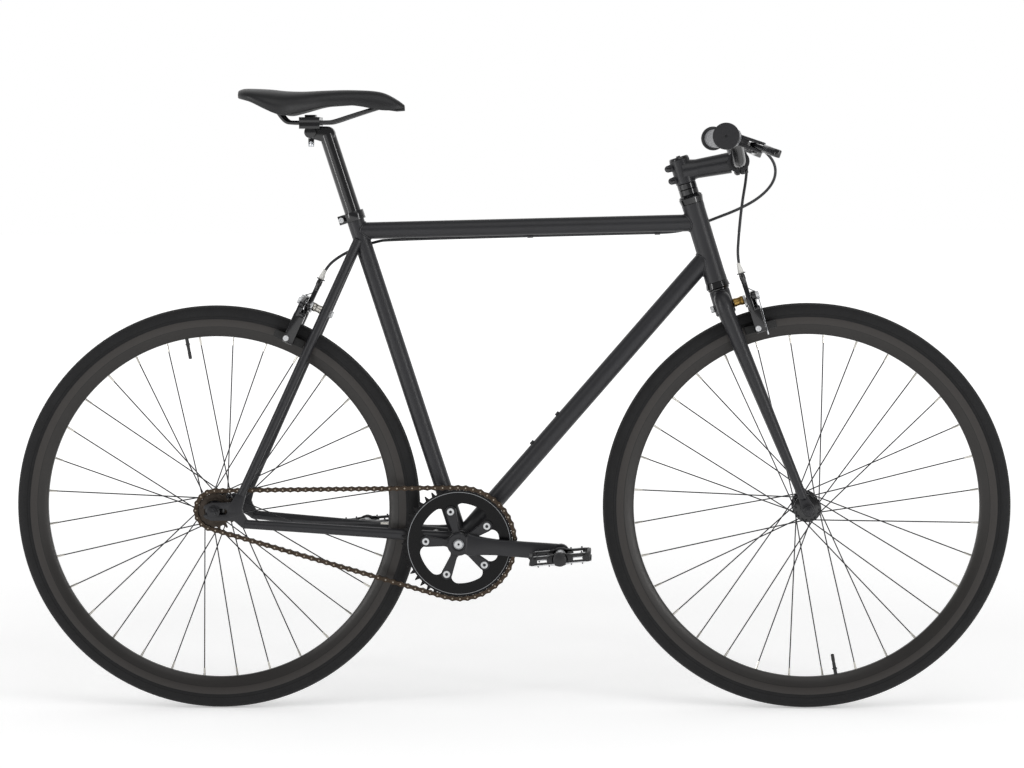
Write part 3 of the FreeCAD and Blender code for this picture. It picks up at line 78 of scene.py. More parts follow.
rearHub, frontHub, bracket = at(-492, 0, 340), at(492, 0, 340), at(-85.842, 0, 284)
headTurn, seatTurn = radians(73), radians(72.3)
steerUp = Vector((-cos(headTurn), 0, sin(headTurn)))
steerOut = Vector((sin(headTurn), 0, cos(headTurn)))
seatUp = Vector((-cos(seatTurn), 0, sin(seatTurn)))
forkRake = 33
steerFoot = frontHub - steerOut * forkRake * mm
xAxis, yAxis, zAxis = Vector((1, 0, 0)), Vector((0, 1, 0)), Vector((0, 0, 1))


def steer(out, across, up):
    return steerFoot + (steerOut * out + yAxis * across + steerUp * up) * mm


def seat(up):
    return bracket + seatUp * up * mm


# Materials
def colour(code):
    parts = [int(code[k:k + 2], 16) / 255 for k in (1, 3, 5)]
    return tuple(c / 12.92 if c <= 0.04045 else ((c + 0.055) / 1.055) ** 2.4 for c in parts) + (1.0,)


def addNode(tree, kind, inputs=None, give=0, **settings):
    # hands back one output of the new node, or all of them
    node = tree.nodes.new("ShaderNode" + kind)
    for key, value in settings.items():
        setattr(node, key, value)
    for socket, value in (inputs or {}).items():
        if isinstance(value, bpy.types.NodeSocket):
            tree.links.new(value, node.inputs[socket])
        else:
            node.inputs[socket].default_value = value
    return node.outputs if give is None else node.outputs[give]


def calc(tree, operation, *values):
    return addNode(tree, "Math", dict(enumerate(values)), operation=operation)


materials = {}


def addMaterial(name, dark, light, cloudMm, grainMm, rough, bump, constants=None, bumpMm=0.1):
    # two tones drift over the surface, and a fine grain drives roughness and bump
    made = materials[name] = bpy.data.materials.new(name)
    made.use_nodes = True
    tree = made.node_tree
    shader = tree.nodes["Principled BSDF"]
    place = addNode(tree, "TexCoord", give="Object")
    cloud = addNode(tree, "TexNoise", {"Vector": place, "Scale": 1 / (cloudMm * mm), "Detail": 3.0})
    grain = addNode(tree, "TexNoise", {"Vector": place, "Scale": 1 / (grainMm * mm), "Detail": 4.0})
    tones = addNode(tree, "Mix", {0: cloud, 6: colour(dark), 7: colour(light)}, 2, data_type="RGBA")
    low, high = rough
    spread = addNode(tree, "MapRange", {0: grain, 1: 0.3, 2: 0.7, 3: low, 4: high})
    normal = addNode(tree, "Bump", {"Height": grain, "Strength": bump, "Distance": bumpMm * mm})
    for socket, value in (("Base Color", tones), ("Roughness", spread), ("Normal", normal)):
        tree.links.new(value, shader.inputs[socket])
    for socket, value in (constants or {}).items():
        shader.inputs[socket].default_value = value
    return tree, shader, place, tones, normal


# each row: dark and light tone, clouds and grain in mm, roughness, bump, the shader's constants, bump's depth in mm
finishes = {
    # powder coat on steel: near-black, low sheen, a faint orange peel
    "powderCoatedSteel": ("#18181b", "#1e1e22", 60, 1.6, (0.36, 0.48), 0.12, {"IOR": 1.5}, 0.15),
    # gloss black anodised aluminium: deep black with crisp pale reflections
    "glossAnodisedAluminium": ("#0b0b0d", "#101013", 40, 0.8, (0.10, 0.18), 0.02, {"IOR": 1.6}),
    # satin black anodised aluminium: bead-blasted, so highlights spread softly
    "satinAnodisedAluminium": ("#151518", "#1b1b1f", 30, 0.5, (0.28, 0.40), 0.08, {"IOR": 1.5}),
    # zinc-plated steel: bright bolts with a slightly cloudy plate
    "zincPlatedSteel": ("#c2c4c6", "#e6e7e8", 4, 0.6, (0.26, 0.42), 0.05, {"Metallic": 0.65}),
    # black-oxide stainless spokes: dark wire with a thin bright edge
    "blackSpokeSteel": ("#2a2a2c", "#3a3a3c", 20, 0.6, (0.26, 0.38), 0.04, {"Metallic": 0.7}),
    # nickel-plated brass nipples: small pale glints at the rim
    "nickelPlatedBrass": ("#b4b1aa", "#d2cfc8", 3, 0.4, (0.2, 0.32), 0.04, {"Metallic": 1.0}),
    # copper-coloured chain plate over steel, oiled: brown bronze with paler worn patches
    "bronzePlatedChain": ("#2a231d", "#54483d", 5, 0.8, (0.25, 0.4), 0.08, {"Metallic": 0.9}),
    # oiled sprocket steel: brown grey, duller than the chain on it
    "oiledSprocketSteel": ("#2a2622", "#4a423b", 8, 0.8, (0.3, 0.48), 0.08, {"Metallic": 0.85}),
    # worn chain pins and rollers: paler than the plates they sit in
    "polishedChainPin": ("#8a8176", "#b5ab9d", 4, 0.5, (0.22, 0.36), 0.05, {"Metallic": 0.9}),
    # moulded grip rubber: matt black with a fine pebble
    "gripRubber": ("#1c1c1e", "#252528", 15, 1.5, (0.34, 0.5), 0.15, {"Specular IOR Level": 0.4}, 0.15),
    # ribbed grip sleeve: grey elastomer with a slight gloss
    "gripSleeveRubber": ("#6f7073", "#8a8b8e", 12, 0.9, (0.3, 0.42), 0.08),
    # embossed saddle vinyl: soft sheen over leather-like grain
    "saddleVinyl": ("#151516", "#1d1d1f", 30, 1.8, (0.36, 0.5), 0.25, {"Specular IOR Level": 0.4}, 0.2),
    # moulded nylon: plain black with a grainy skin
    "mouldedNylon": ("#131314", "#1b1b1d", 20, 0.9, (0.42, 0.58), 0.2, {"IOR": 1.53}, 0.12),
    # extruded cable housing: dark grey plastic, slightly waxy
    "extrudedHousing": ("#232426", "#2e2f32", 12, 0.8, (0.34, 0.46), 0.06),
    # turned brass: warm yellow metal between crown and caliper
    "turnedBrass": ("#8f6f38", "#c2a060", 6, 0.5, (0.25, 0.4), 0.05, {"Metallic": 1.0}),
    # white rubber boot: matt off-white
    "whiteRubber": ("#cfcec9", "#e4e3df", 5, 0.7, (0.5, 0.65), 0.05),
    # brake pad compound: dull dark grey
    "brakePadRubber": ("#1a1a1a", "#262626", 6, 0.8, (0.7, 0.85), 0.2),
    # machined stainless: bright ends of axles and wires
    "machinedStainless": ("#8d8f92", "#b5b7ba", 3, 0.3, (0.2, 0.34), 0.04, {"Metallic": 1.0}),
}
for name, row in finishes.items():
    addMaterial(name, *row)


def ringedMaterial(name, row, centre, bands):
    # a material whose tones also change with the distance from an axis
    tree, shader, place, shade, normal = addMaterial(name, *row)
    centred = addNode(tree, "VectorMath", {0: place, 1: tuple(-c for c in centre)}, operation="ADD")
    flat = addNode(tree, "VectorMath", {0: centred, 1: (1, 0, 1)}, operation="MULTIPLY")
    radius = addNode(tree, "VectorMath", {0: flat}, 1, operation="LENGTH")
    for inner, outer, tone in bands:
        above = calc(tree, "GREATER_THAN", radius, inner * mm)
        below = calc(tree, "LESS_THAN", radius, outer * mm)
        inside = calc(tree, "MULTIPLY", above, below)
        shade = addNode(tree, "Mix", {0: inside, 6: shade, 7: colour(tone)}, 2, data_type="RGBA")
    tree.links.new(shade, shader.inputs["Base Color"])
    return tree, shader, centred, radius, normal


# anodised aluminium rim: warm dark grey, with a turned brake track that shows fine rings
rimFinish = {"row": ("#272524", "#2e2c2a", 50, 0.7, (0.28, 0.4), 0.05, {"Metallic": 0.3}), "marksMm": 1.2,
             "bands": ((304.5, 316.0, "#34312f"), (303.6, 304.5, "#1d1c1b")), "bump": (0.08, 0.05)}
# tyre rubber: matt black, dusty grey where the tread meets the road, with a fine file tread
tyreFinish = {"row": ("#151516", "#1f1f20", 25, 1.2, (0.66, 0.82), 0.25, {"Specular IOR Level": 0.3}, 0.2),
              "bands": ((336.5, 341.0, "#2a2a2a"), (321.0, 322.0, "#0d0d0e")),
              "blocks": 712.0, "blockMm": 3, "treadFrom": 333, "bump": (0.5, 0.4)}
# gloss black chainring with one turned bright line below the teeth
chainringFinish = {"row": ("#060607", "#0a0a0b", 30, 0.6, (0.2, 0.32), 0.04, {"Specular IOR Level": 0.2}),
                   "bands": ((84.8, 85.6, "#97999b"),)}
for end, hub in (("rear", rearHub), ("front", frontHub)):
    made = ringedMaterial(end + "RimAluminium", rimFinish["row"], hub, rimFinish["bands"])
    tree, shader, _, radius, normal = made
    rings = calc(tree, "MULTIPLY", radius, 2 * pi / (rimFinish["marksMm"] * mm))
    wave = calc(tree, "SINE", rings)
    bump, depth = rimFinish["bump"]
    turned = addNode(tree, "Bump", {"Height": wave, "Strength": bump, "Distance": depth * mm, "Normal": normal})
    tree.links.new(turned, shader.inputs["Normal"])
    made = ringedMaterial(end + "TyreRubber", tyreFinish["row"], hub, tyreFinish["bands"])
    tree, shader, centred, radius, normal = made
    parts = addNode(tree, "SeparateXYZ", {0: centred}, None)
    turn = calc(tree, "ARCTAN2", parts["Z"], parts["X"])
    slant = calc(tree, "ABSOLUTE", parts["Y"])
    lean = calc(tree, "MULTIPLY", slant, 2 * pi / (tyreFinish["blockMm"] * mm))
    blocks = calc(tree, "MULTIPLY_ADD", turn, tyreFinish["blocks"], lean)
    tread = calc(tree, "SINE", blocks)
    onTread = calc(tree, "GREATER_THAN", radius, tyreFinish["treadFrom"] * mm)
    height = calc(tree, "MULTIPLY", tread, onTread)
    bump, depth = tyreFinish["bump"]
    cut = addNode(tree, "Bump", {"Height": height, "Strength": bump, "Distance": depth * mm, "Normal": normal})
    tree.links.new(cut, shader.inputs["Normal"])
ringedMaterial("turnedChainring", chainringFinish["row"], bracket, chainringFinish["bands"])
print("materials made", len(materials))

# looks that many pieces share: a slot of the part and a material
paint = ("frame_paint", "powderCoatedSteel")
gloss = ("black_alloy", "glossAnodisedAluminium")
satin = ("satin_alloy", "satinAnodisedAluminium")
satinBlack = ("black_alloy", "satinAnodisedAluminium")
zinc = ("steel", "zincPlatedSteel")
stainless = ("steel", "machinedStainless")


# Tools of the bench
def turnTo(axis):
    return zAxis.rotation_difference(axis).to_matrix().to_4x4()


def axesAt(origin, xDir, yDir):
    return Matrix.Translation(origin) @ Matrix((xDir, yDir, xDir.cross(yDir))).transposed().to_4x4()


def soften(bm, width, angle=40, segments=2):
    edges = [e for e in bm.edges if e.is_manifold and e.calc_face_angle() > radians(angle)]
    bmesh.ops.bevel(bm, geom=edges, offset=width * mm, segments=segments, profile=0.5, affect="EDGES", material=-1,
                    clamp_overlap=True)


def rod(bm, start, end, first, last=None, segments=40):
    run = end - start
    matrix = Matrix.Translation((start + end) / 2) @ turnTo(run)
    bmesh.ops.create_cone(bm, cap_ends=True, segments=segments, radius1=first * mm,
                          radius2=(first if last is None else last) * mm, depth=run.length, matrix=matrix)


def lathe(bm, outline, base, axis, steps=64, closed=False):
    turn = turnTo(axis)
    verts = [bm.verts.new(base + turn @ Vector((r * mm, 0, a * mm))) for r, a in outline]
    pairs = list(zip(verts, verts[1:])) + ([(verts[-1], verts[0])] if closed else [])
    edges = [bm.edges.new(pair) for pair in pairs]
    bmesh.ops.spin(bm, geom=verts + edges, cent=base, axis=axis, angle=2 * pi, steps=steps, use_merge=True)


def addTo(bm, part):
    mesh = bpy.data.meshes.new("part")
    part.to_mesh(mesh)
    part.free()
    bm.from_mesh(mesh)
    bpy.data.meshes.remove(mesh)


def hullLink(bm, start, end, first, last, low, high, matrix, softness=0.8, segments=28):
    # a flat link with round ends, drawn tight over four circles
    part = bmesh.new()
    for (x, y), radius in ((start, first), (end, last)):
        for z in (low, high):
            spot = matrix @ Matrix.Translation(at(x, y, z))
            bmesh.ops.create_circle(part, cap_ends=False, segments=segments, radius=radius * mm, matrix=spot)
    made = bmesh.ops.convex_hull(part, input=part.verts[:])
    loose = [g for g in made["geom_interior"] + made["geom_unused"] if isinstance(g, bmesh.types.BMVert)]
    bmesh.ops.delete(part, geom=list(set(loose)), context="VERTS")
    bmesh.ops.dissolve_limit(part, angle_limit=radians(1), verts=part.verts[:], edges=part.edges[:])
    soften(part, softness, 60)
    addTo(bm, part)


def hullChain(bm, links, low, high, matrix, softness, segments=28):
    # links laid end to end through points that carry their own radius
    for (x, y, first), (u, v, last) in zip(links, links[1:]):
        hullLink(bm, (x, y), (u, v), first, last, low, high, matrix, softness, segments)


def slab(bm, low, high, matrix, softness=1.0):
    # a block with softened edges between two corners
    part = bmesh.new()
    size, middle = at(*high) - at(*low), (at(*high) + at(*low)) / 2
    scaled = matrix @ Matrix.Translation(middle) @ Matrix.Diagonal((*size, 1))
    bmesh.ops.create_cube(part, size=1, matrix=scaled)
    soften(part, softness, 60)
    addTo(bm, part)


def finishPiece(bm, name, body, look, nodes=(), shade=35):
    bmesh.ops.remove_doubles(bm, verts=bm.verts, dist=0.002 * mm)
    bmesh.ops.recalc_face_normals(bm, faces=bm.faces)
    for face in bm.faces:
        face.smooth = True
    for edge in bm.edges:
        edge.smooth = edge.is_manifold and edge.calc_face_angle() < radians(shade)
    mesh = bpy.data.meshes.new(name)
    bm.to_mesh(mesh)
    bm.free()
    slotName, material = look
    mesh.materials.clear()
    mesh.materials.append(materials[material])
    piece = bpy.data.objects.new(name, mesh)
    scene.collection.objects.link(piece)
    if nodes:
        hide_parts(*nodes)
    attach(piece, body)
    return piece


def turnPiece(name, body, look, outline, base, axis, steps=64, closed=False, nodes=(), shade=35):
    bm = bmesh.new()
    lathe(bm, outline, base, axis, steps, closed)
    finishPiece(bm, name, body, look, nodes, shade)


def softCopy(node, body, look, width=0.5, shade=40):
    # the CAD node's own shape, merged and with its edges softened
    bm = bmesh.new()
    bm.from_mesh(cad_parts[node].data)
    bmesh.ops.remove_doubles(bm, verts=bm.verts, dist=0.002 * mm)
    bmesh.ops.dissolve_limit(bm, angle_limit=radians(1), verts=bm.verts[:], edges=bm.edges[:])
    soften(bm, width, shade)
    finishPiece(bm, node + "Soft", body, look, (node,), shade)


def curveMesh(name, points, radii, kind="NURBS", resolution=16, rings=8):
    # a round tube along a curve, its radius given at each point, and the curve's own line
    data = bpy.data.curves.new(name, "CURVE")
    data.dimensions = "3D"
    spline = data.splines.new(kind)
    spline.points.add(len(points) - 1)
    thick = max(radii)
    for point, spot, radius in zip(spline.points, points, radii):
        point.co = (*spot, 1)
        point.radius = radius / thick
    spline.order_u = 3
    spline.use_endpoint_u = True
    spline.use_cyclic_u = kind == "POLY"
    spline.resolution_u = resolution
    holder = bpy.data.objects.new(name + "Line", data)
    bare = bpy.data.meshes.new_from_object(holder)
    line = [tuple(v.co) for v in bare.vertices]
    bpy.data.meshes.remove(bare)
    data.bevel_depth = thick * mm
    data.bevel_resolution = rings
    data.use_fill_caps = kind == "NURBS"
    tube = bpy.data.meshes.new_from_object(holder)
    bpy.data.objects.remove(holder)
    return tube, line


def bentTube(name, points, radii, body, look, nodes=(), **settings):
    tube = curveMesh(name, points, radii, **settings)[0]
    bm = bmesh.new()
    bm.from_mesh(tube)
    bpy.data.meshes.remove(tube)
    finishPiece(bm, name, body, look, nodes)


# Cords: the brake cables' housings, on the same route points as the solids
cords = {
    "frontBrakeHousing": {
        "node": "front_brake_cable", "length": 0.314, "bodies": ("steering", "front_side_arm"),
        "bend": ((0.379, -0.019, 0.795), (0.38259, -0.026, 0.73037)), "route": (
            (0.38469, 0.15266, 0.94494), (0.38752, 0.12681, 0.94468), (0.396, 0.062, 0.925), (0.394, 0.028, 0.889),
            (0.385, 0.0, 0.845), (0.379, -0.019, 0.795), (0.37615, -0.026, 0.75141), (0.38259, -0.026, 0.73037))},
    "rearLoopHousing": {
        "node": "rear_cable_loop", "length": 0.388, "bodies": ("steering", "frame"),
        "bend": ((0.437, -0.03, 0.88), (0.285, 0.015, 0.80)), "route": (
            (0.38469, -0.15266, 0.94494), (0.38769, -0.13066, 0.94494), (0.418, -0.09, 0.932), (0.438, -0.062, 0.908),
            (0.437, -0.03, 0.88), (0.415, 0.0, 0.854), (0.38, 0.022, 0.834), (0.341, 0.031, 0.819),
            (0.302, 0.028, 0.804), (0.27366, 0.0071, 0.79711), (0.24966, 0.0071, 0.79665))},
    "rearBrakeHousing": {
        "node": "rear_brake_cable", "length": 0.594, "bodies": ("frame", "rear_side_arm"),
        "bend": ((-0.292, 0.028, 0.756), (-0.31803, 0.026, 0.72141)), "route": (
            (0.24966, 0.0071, 0.79665), (-0.2019, 0.0071, 0.78797), (-0.226, 0.021, 0.783), (-0.262, 0.027, 0.772),
            (-0.292, 0.028, 0.756), (-0.30964, 0.026, 0.73957), (-0.31803, 0.026, 0.72141))},
}
housingRadius = 2.4
for name, spec in cords.items():
    radii = [housingRadius] * len(spec["route"])
    tube, line = curveMesh(name, spec["route"], radii, resolution=12, rings=4)
    tube.materials.clear()
    tube.materials.append(materials["extrudedHousing"])
    housing = bpy.data.objects.new(name, tube)
    scene.collection.objects.link(housing)
    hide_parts(spec["node"])
    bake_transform(housing)
print("cables laid", len(cords))


# Frame: round tubes where the solids have flat sides
topRear, topFront, downFront, seatTop = seat(544), steer(0, 0, 504.8), steer(0, 0, 447.8), seat(576)
topRadius, downRadius, seatRadius, headRadius, shellRadius = 14, 15.9, 14.3, 18, 20
tubes = {
    "topTube": ("top_tube", ((topRear, topFront, topRadius, topRadius),)),
    "downTube": ("down_tube", ((bracket, downFront, downRadius, downRadius),)),
    "seatTube": ("seat_tube", ((bracket, seatTop, seatRadius, seatRadius),)),
    "chainStays": ("chain_stays", [(at(-85.84, s * 22, 290), at(-440, s * 63.5, 319), 9.5, 7.5) for s in sides]),
    "seatStays": ("seat_stays", [(at(-251.7, s * 10, 787.4), at(-446, s * 63.5, 367), 8, 7) for s in sides]),
    "stayBridges": ("stay_bridges", ((at(-307.55, -25.6, 666.6), at(-307.55, 25.6, 666.6), 6.5, 6.5),
                                     (at(-128, -27, 293.4), at(-128, 27, 293.4), 6.5, 6.5))),
}
for name, (node, runs) in tubes.items():
    bm = bmesh.new()
    for run in runs:
        rod(bm, *run, 48)
    finishPiece(bm, name, "frame", paint, (node,))

headTube = {"low": 402.8, "high": 537.8, "collar": 0.4, "collarHeight": 6, "slopeHeight": 12}
low, high, thick = headTube["low"], headTube["high"], headRadius + headTube["collar"]
flat, slope = headTube["collarHeight"], headTube["slopeHeight"]
turnPiece("headTube", "frame", paint, (
    (0, low), (thick, low), (thick, low + flat), (headRadius, low + slope), (headRadius, high - slope),
    (thick, high - flat), (thick, high), (0, high)), steerFoot, steerUp, nodes=("head_tube",))

bracketShell = {"half": 34, "softness": 0.8}
bm = bmesh.new()
across = yAxis * bracketShell["half"] * mm
rod(bm, bracket - across, bracket + across, shellRadius, segments=56)
soften(bm, bracketShell["softness"])
finishPiece(bm, "bracketShell", "frame", paint, ("bottom_bracket_shell",))

# weld beads: a thin rope of metal where one tube, listed last, meets another
weld = {"thickness": 1.7, "count": 48, "ripple": 0.12, "ripples": 12, "joints": (
    (bracket, seatUp, seatRadius, topRear, topFront, topRadius),
    (steerFoot, steerUp, headRadius, topFront, topRear, topRadius),
    (steerFoot, steerUp, headRadius, downFront, bracket, downRadius),
    (bracket, yAxis, shellRadius, bracket, downFront, downRadius),
    (bracket, yAxis, shellRadius, bracket, seatTop, seatRadius))}


def weldBead(name, base, along, radius, start, toward, reach):
    way = (toward - start).normalized()
    first = way.orthogonal().normalized()
    second = way.cross(first)
    spots, radii = [], []
    for k in range(weld["count"]):
        turn = 2 * pi * k / weld["count"]
        spot = start + (first * cos(turn) + second * sin(turn)) * reach * mm - base
        flat, slope = spot - along * spot.dot(along), way - along * way.dot(along)
        half = flat.dot(slope)
        root = half * half - slope.length_squared * (flat.length_squared - (radius * mm) ** 2)
        travel = (sqrt(max(root, 0)) - half) / slope.length_squared
        spots.append(base + spot + way * travel)
        radii.append(weld["thickness"] * (1 + weld["ripple"] * sin(weld["ripples"] * turn)))
    bentTube(name, spots, radii, "frame", paint, kind="POLY", rings=3)


for k, joint in enumerate(weld["joints"]):
    weldBead("weldBead" + str(k), *joint)
for node in ("rear_dropouts", "bottle_bosses", "cable_guides"):
    softCopy(node, "frame", paint, 0.6)
print("frame dressed")


# Headset, spacers and bottom bracket cups: turned rings with chamfered corners
def ringOutline(inner, first, last, low, high, chamfer=0.9):
    return ((inner, low), (first - chamfer, low), (first, low + chamfer), (last, high - chamfer),
            (last - chamfer, high), (inner, high))


turnedSets = {
    "headsetCups": ("headset_cups", "frame", steerFoot, steerUp, (
        (15, 20.2, 18.6, 391.8, 402.8), (15, 18.6, 20.2, 537.8, 548.8))),
    "headsetSpacers": ("headset_spacers", "steering", steerFoot, steerUp, (
        (14.5, 18, 18, 388, 391.5), (14.5, 20, 17.4, 549.1, 553.1), (14.5, 16, 16, 553.1, 563.1),
        (14.5, 16, 16, 563.1, 573.1))),
    "bracketCups": ("bottom_bracket_cups", "frame", bracket, yAxis, (
        (8.8, 19.4, 20, -36.5, -34), (8.8, 20, 19.4, 34, 36.5))),
}
for name, (node, body, base, axis, rings) in turnedSets.items():
    bm = bmesh.new()
    for ring in rings:
        lathe(bm, ringOutline(*ring), base, axis, 64, True)
    finishPiece(bm, name, body, gloss, (node,))
softCopy("seat_clamp", "frame", gloss, 0.7)
clampBolt = {"place": (-280.1, -9.0, 819.8), "outline": (
    (0, 0), (4.6, 0), (4.6, -1.2), (3.9, -1.8), (2.4, -1.8), (2.4, -0.4), (0, -0.4))}
turnPiece("seatClampBolt", "frame", zinc, clampBolt["outline"], at(*clampBolt["place"]), yAxis, 24)
print("headset and cups turned")


# Seat post, clamp and rails
sideFrame = axesAt(Vector((0, 0, 0)), xAxis, zAxis)
seatPost = {"low": 476, "high": 712, "radius": 13.6, "headHalf": 11, "headSoftness": 2.5,
            "cradle": (-329.31, 966.29), "cradleRadius": 10, "cradleHalf": 18, "cradleSoftness": 1.5}
bm = bmesh.new()
rod(bm, seat(seatPost["low"]), seat(seatPost["high"]), seatPost["radius"], segments=56)
head, half = seat(seatPost["high"]) / mm, seatPost["headHalf"]
hullLink(bm, (head.x, head.z), seatPost["cradle"], seatPost["radius"], seatPost["cradleRadius"], -half, half, sideFrame,
         seatPost["headSoftness"])
middle = at(seatPost["cradle"][0], 0, seatPost["cradle"][1])
across = yAxis * seatPost["cradleHalf"] * mm
part = bmesh.new()
rod(part, middle - across, middle + across, seatPost["cradleRadius"])
soften(part, seatPost["cradleSoftness"])
addTo(bm, part)
finishPiece(bm, "seatPost", "seat", gloss, ("seat_post",))
softCopy("saddle_clamp", "seat", gloss, 1.2)
clampNut = {"low": (-329.3, 0, 942.5), "high": (-329.3, 0, 951.5), "radius": 5.2, "softness": 0.5}
bm = bmesh.new()
rod(bm, at(*clampNut["low"]), at(*clampNut["high"]), clampNut["radius"], segments=6)
soften(bm, clampNut["softness"])
finishPiece(bm, "saddleClampNut", "seat", stainless)

saddleRails = {"radius": 3.5, "route": (
    (-387, 26, 1008), (-380, 25, 997), (-369, 23.5, 983.2), (-358, 23, 982), (-330, 23, 982), (-300, 23, 982),
    (-291, 22.2, 982.6), (-262, 17.4, 992.2), (-232, 11, 1001.5), (-216.7, 8, 1006))}
for side, name, nodes in ((-1, "rightRail", ("saddle_rails",)), (1, "leftRail", ())):
    route = [at(x, y * side, z) for x, y, z in saddleRails["route"]]
    bentTube(name, route, [saddleRails["radius"]] * len(route), "seat", gloss, nodes)


# Saddle: a moulded pad, drawn loop by loop from tail to nose, under stretched vinyl.
# Each section: place along the pad, half its width, and the depth of its crown and of its edge, as shares
saddle = {
    "tail": -446.01, "length": 273, "width": 142, "top": 1039.5, "depth": 47, "padding": 21, "lip": (.93, .4),
    "sections": ((0, .30, .07, .36), (.03, .39, .01, .42), (.08, .46, .012, .50), (.19, .50, .04, .82),
                 (.28, .46, .10, 1), (.39, .35, .12, .88), (.52, .24, .09, .69), (.68, .17, .08, .63),
                 (.86, .14, .16, .81), (.95, .115, .41, .79), (1, .05, .63, .745)),
    "crown": ((0, 0), (.30, .015), (.56, .08), (.78, .20), (.92, .38), (.985, .58), (.97, .80)),
    "hollow": ((.86, 0), (.72, .25), (.42, .78), (0, 1)),
}


def between(rows, place):
    # smooth curve through the rows' values
    k = max(i for i, row in enumerate(rows[:-1]) if row[0] <= place)
    before, first, last, after = (rows[min(max(k + i, 0), len(rows) - 1)] for i in (-1, 0, 1, 2))
    gap = last[0] - first[0]
    t = (place - first[0]) / gap
    values = []
    for a, b, c, d in zip(before[1:], first[1:], last[1:], after[1:]):
        rise = (c - a) * gap / max(last[0] - before[0], gap)
        fall = (d - b) * gap / max(after[0] - first[0], gap)
        values.append((2 * t**3 - 3 * t**2 + 1) * b + (t**3 - 2 * t**2 + t) * rise + (3 * t**2 - 2 * t**3) * c
                      + (t**3 - t**2) * fall)
    return values


def saddleLoop(bm, x, half, top, edge, under):
    # top crown, rounded shoulder, side wall, then the hollow under the pad
    wide, lift = saddle["lip"]
    profile = [(y, top - drop * (top - edge)) for y, drop in saddle["crown"]] + [(wide, edge + lift)]
    profile += [(y, edge + rise * (under - edge)) for y, rise in saddle["hollow"]]
    right = [(-y * half, z) for y, z in profile]
    left = [(y * half, z) for y, z in reversed(profile[1:-1])]
    verts = [bm.verts.new(at(x, y, z)) for y, z in right + left]
    return [bm.edges.new(pair) for pair in zip(verts, verts[1:] + verts[:1])]


bm = bmesh.new()
stations = [0, .004, .015] + [k / 34 for k in range(1, 34)] + [.985, .996, 1]
loops = []
for place in stations:
    half, crown, edge = between(saddle["sections"], place)
    x, half = saddle["tail"] + place * saddle["length"], half * saddle["width"]
    top, low = saddle["top"] - crown * saddle["depth"], saddle["top"] - edge * saddle["depth"]
    loops.append(saddleLoop(bm, x, half, top, low, max(top - saddle["padding"], low + (top - low) / 3)))
for first, last in zip(loops, loops[1:]):
    bmesh.ops.bridge_loops(bm, edges=first + last)
for loop in (loops[0], loops[-1]):
    bmesh.ops.contextual_create(bm, geom=loop)
bmesh.ops.smooth_vert(bm, verts=bm.verts, factor=0.35, use_axis_x=False, use_axis_y=True, use_axis_z=True)
soften(bm, 3.0, 60, 4)
cover = finishPiece(bm, "saddleCover", "seat", ("saddle_cover", "saddleVinyl"), ("saddle_cover",), 60)
smooth = cover.modifiers.new("smooth", "SUBSURF")
smooth.levels = smooth.render_levels = 1
softCopy("saddle_shell", "seat", ("saddle_shell", "mouldedNylon"), 0.6)
print("seat dressed")


# Wheels: turned hubs, laced spokes, rims and tyres
wheels = {
    "rear": {"hub": rearHub, "flange": 30, "right": 49, "left": 45, "boss": 17, "barrel": 14.5, "valve": 100},
    "front": {"hub": frontHub, "flange": 33, "right": 46, "left": 46, "boss": 13, "barrel": 11.5, "valve": -80},
}
hubShape = {"bore": 6, "flangeRadius": 23, "flangeHalf": 1.6, "corner": 0.6}
spoke = {"count": 16, "crossing": 3, "offset": 0.25, "hubRadius": 19.5, "rimRadius": 286.7, "thickness": 1.05,
         "outside": 3.3, "inside": -2.7, "through": 2.2, "head": (1.2, 2.0, 1.2),
         "nippleLength": 13, "nippleRadii": (1.6, 2.0)}
rimHalf = ((317.3, 9.4), (317.3, 10.5), (316.7, 11.0), (303.8, 11.0), (302.6, 10.6), (296.0, 8.2), (289.6, 5.4),
           (287.9, 4.0), (287.3, 2.2))
rimBed = ((313.0, 8.6), (313.0, -8.6))
tyreRing = {"centre": 325.25, "radius": 14, "count": 32}
valve = {"foot": 287.3, "outline": ((0, -3), (3, -3), (3, 8), (4.2, 8.4), (4.2, 10), (3, 10.4), (2.6, 22),
                                    (2.9, 22.6), (2.9, 33), (2.2, 34), (0, 34))}
wheelSteps = 180


def hubOutline(spec):
    boss, barrel, flange, corner = spec["boss"], spec["barrel"], spec["flange"], hubShape["corner"]
    radius, half = hubShape["flangeRadius"], hubShape["flangeHalf"]

    def side(end):
        return [(hubShape["bore"], end), (boss - 1, end), (boss, end - 1), (boss, flange + 3),
                (radius - corner, flange + half), (radius, flange + half - corner), (radius, flange - half + corner),
                (radius - corner, flange - half), (barrel + 3, flange - 2), (barrel, flange - 8)]
    return [(r, -a) for r, a in side(spec["right"])] + side(spec["left"])[::-1]


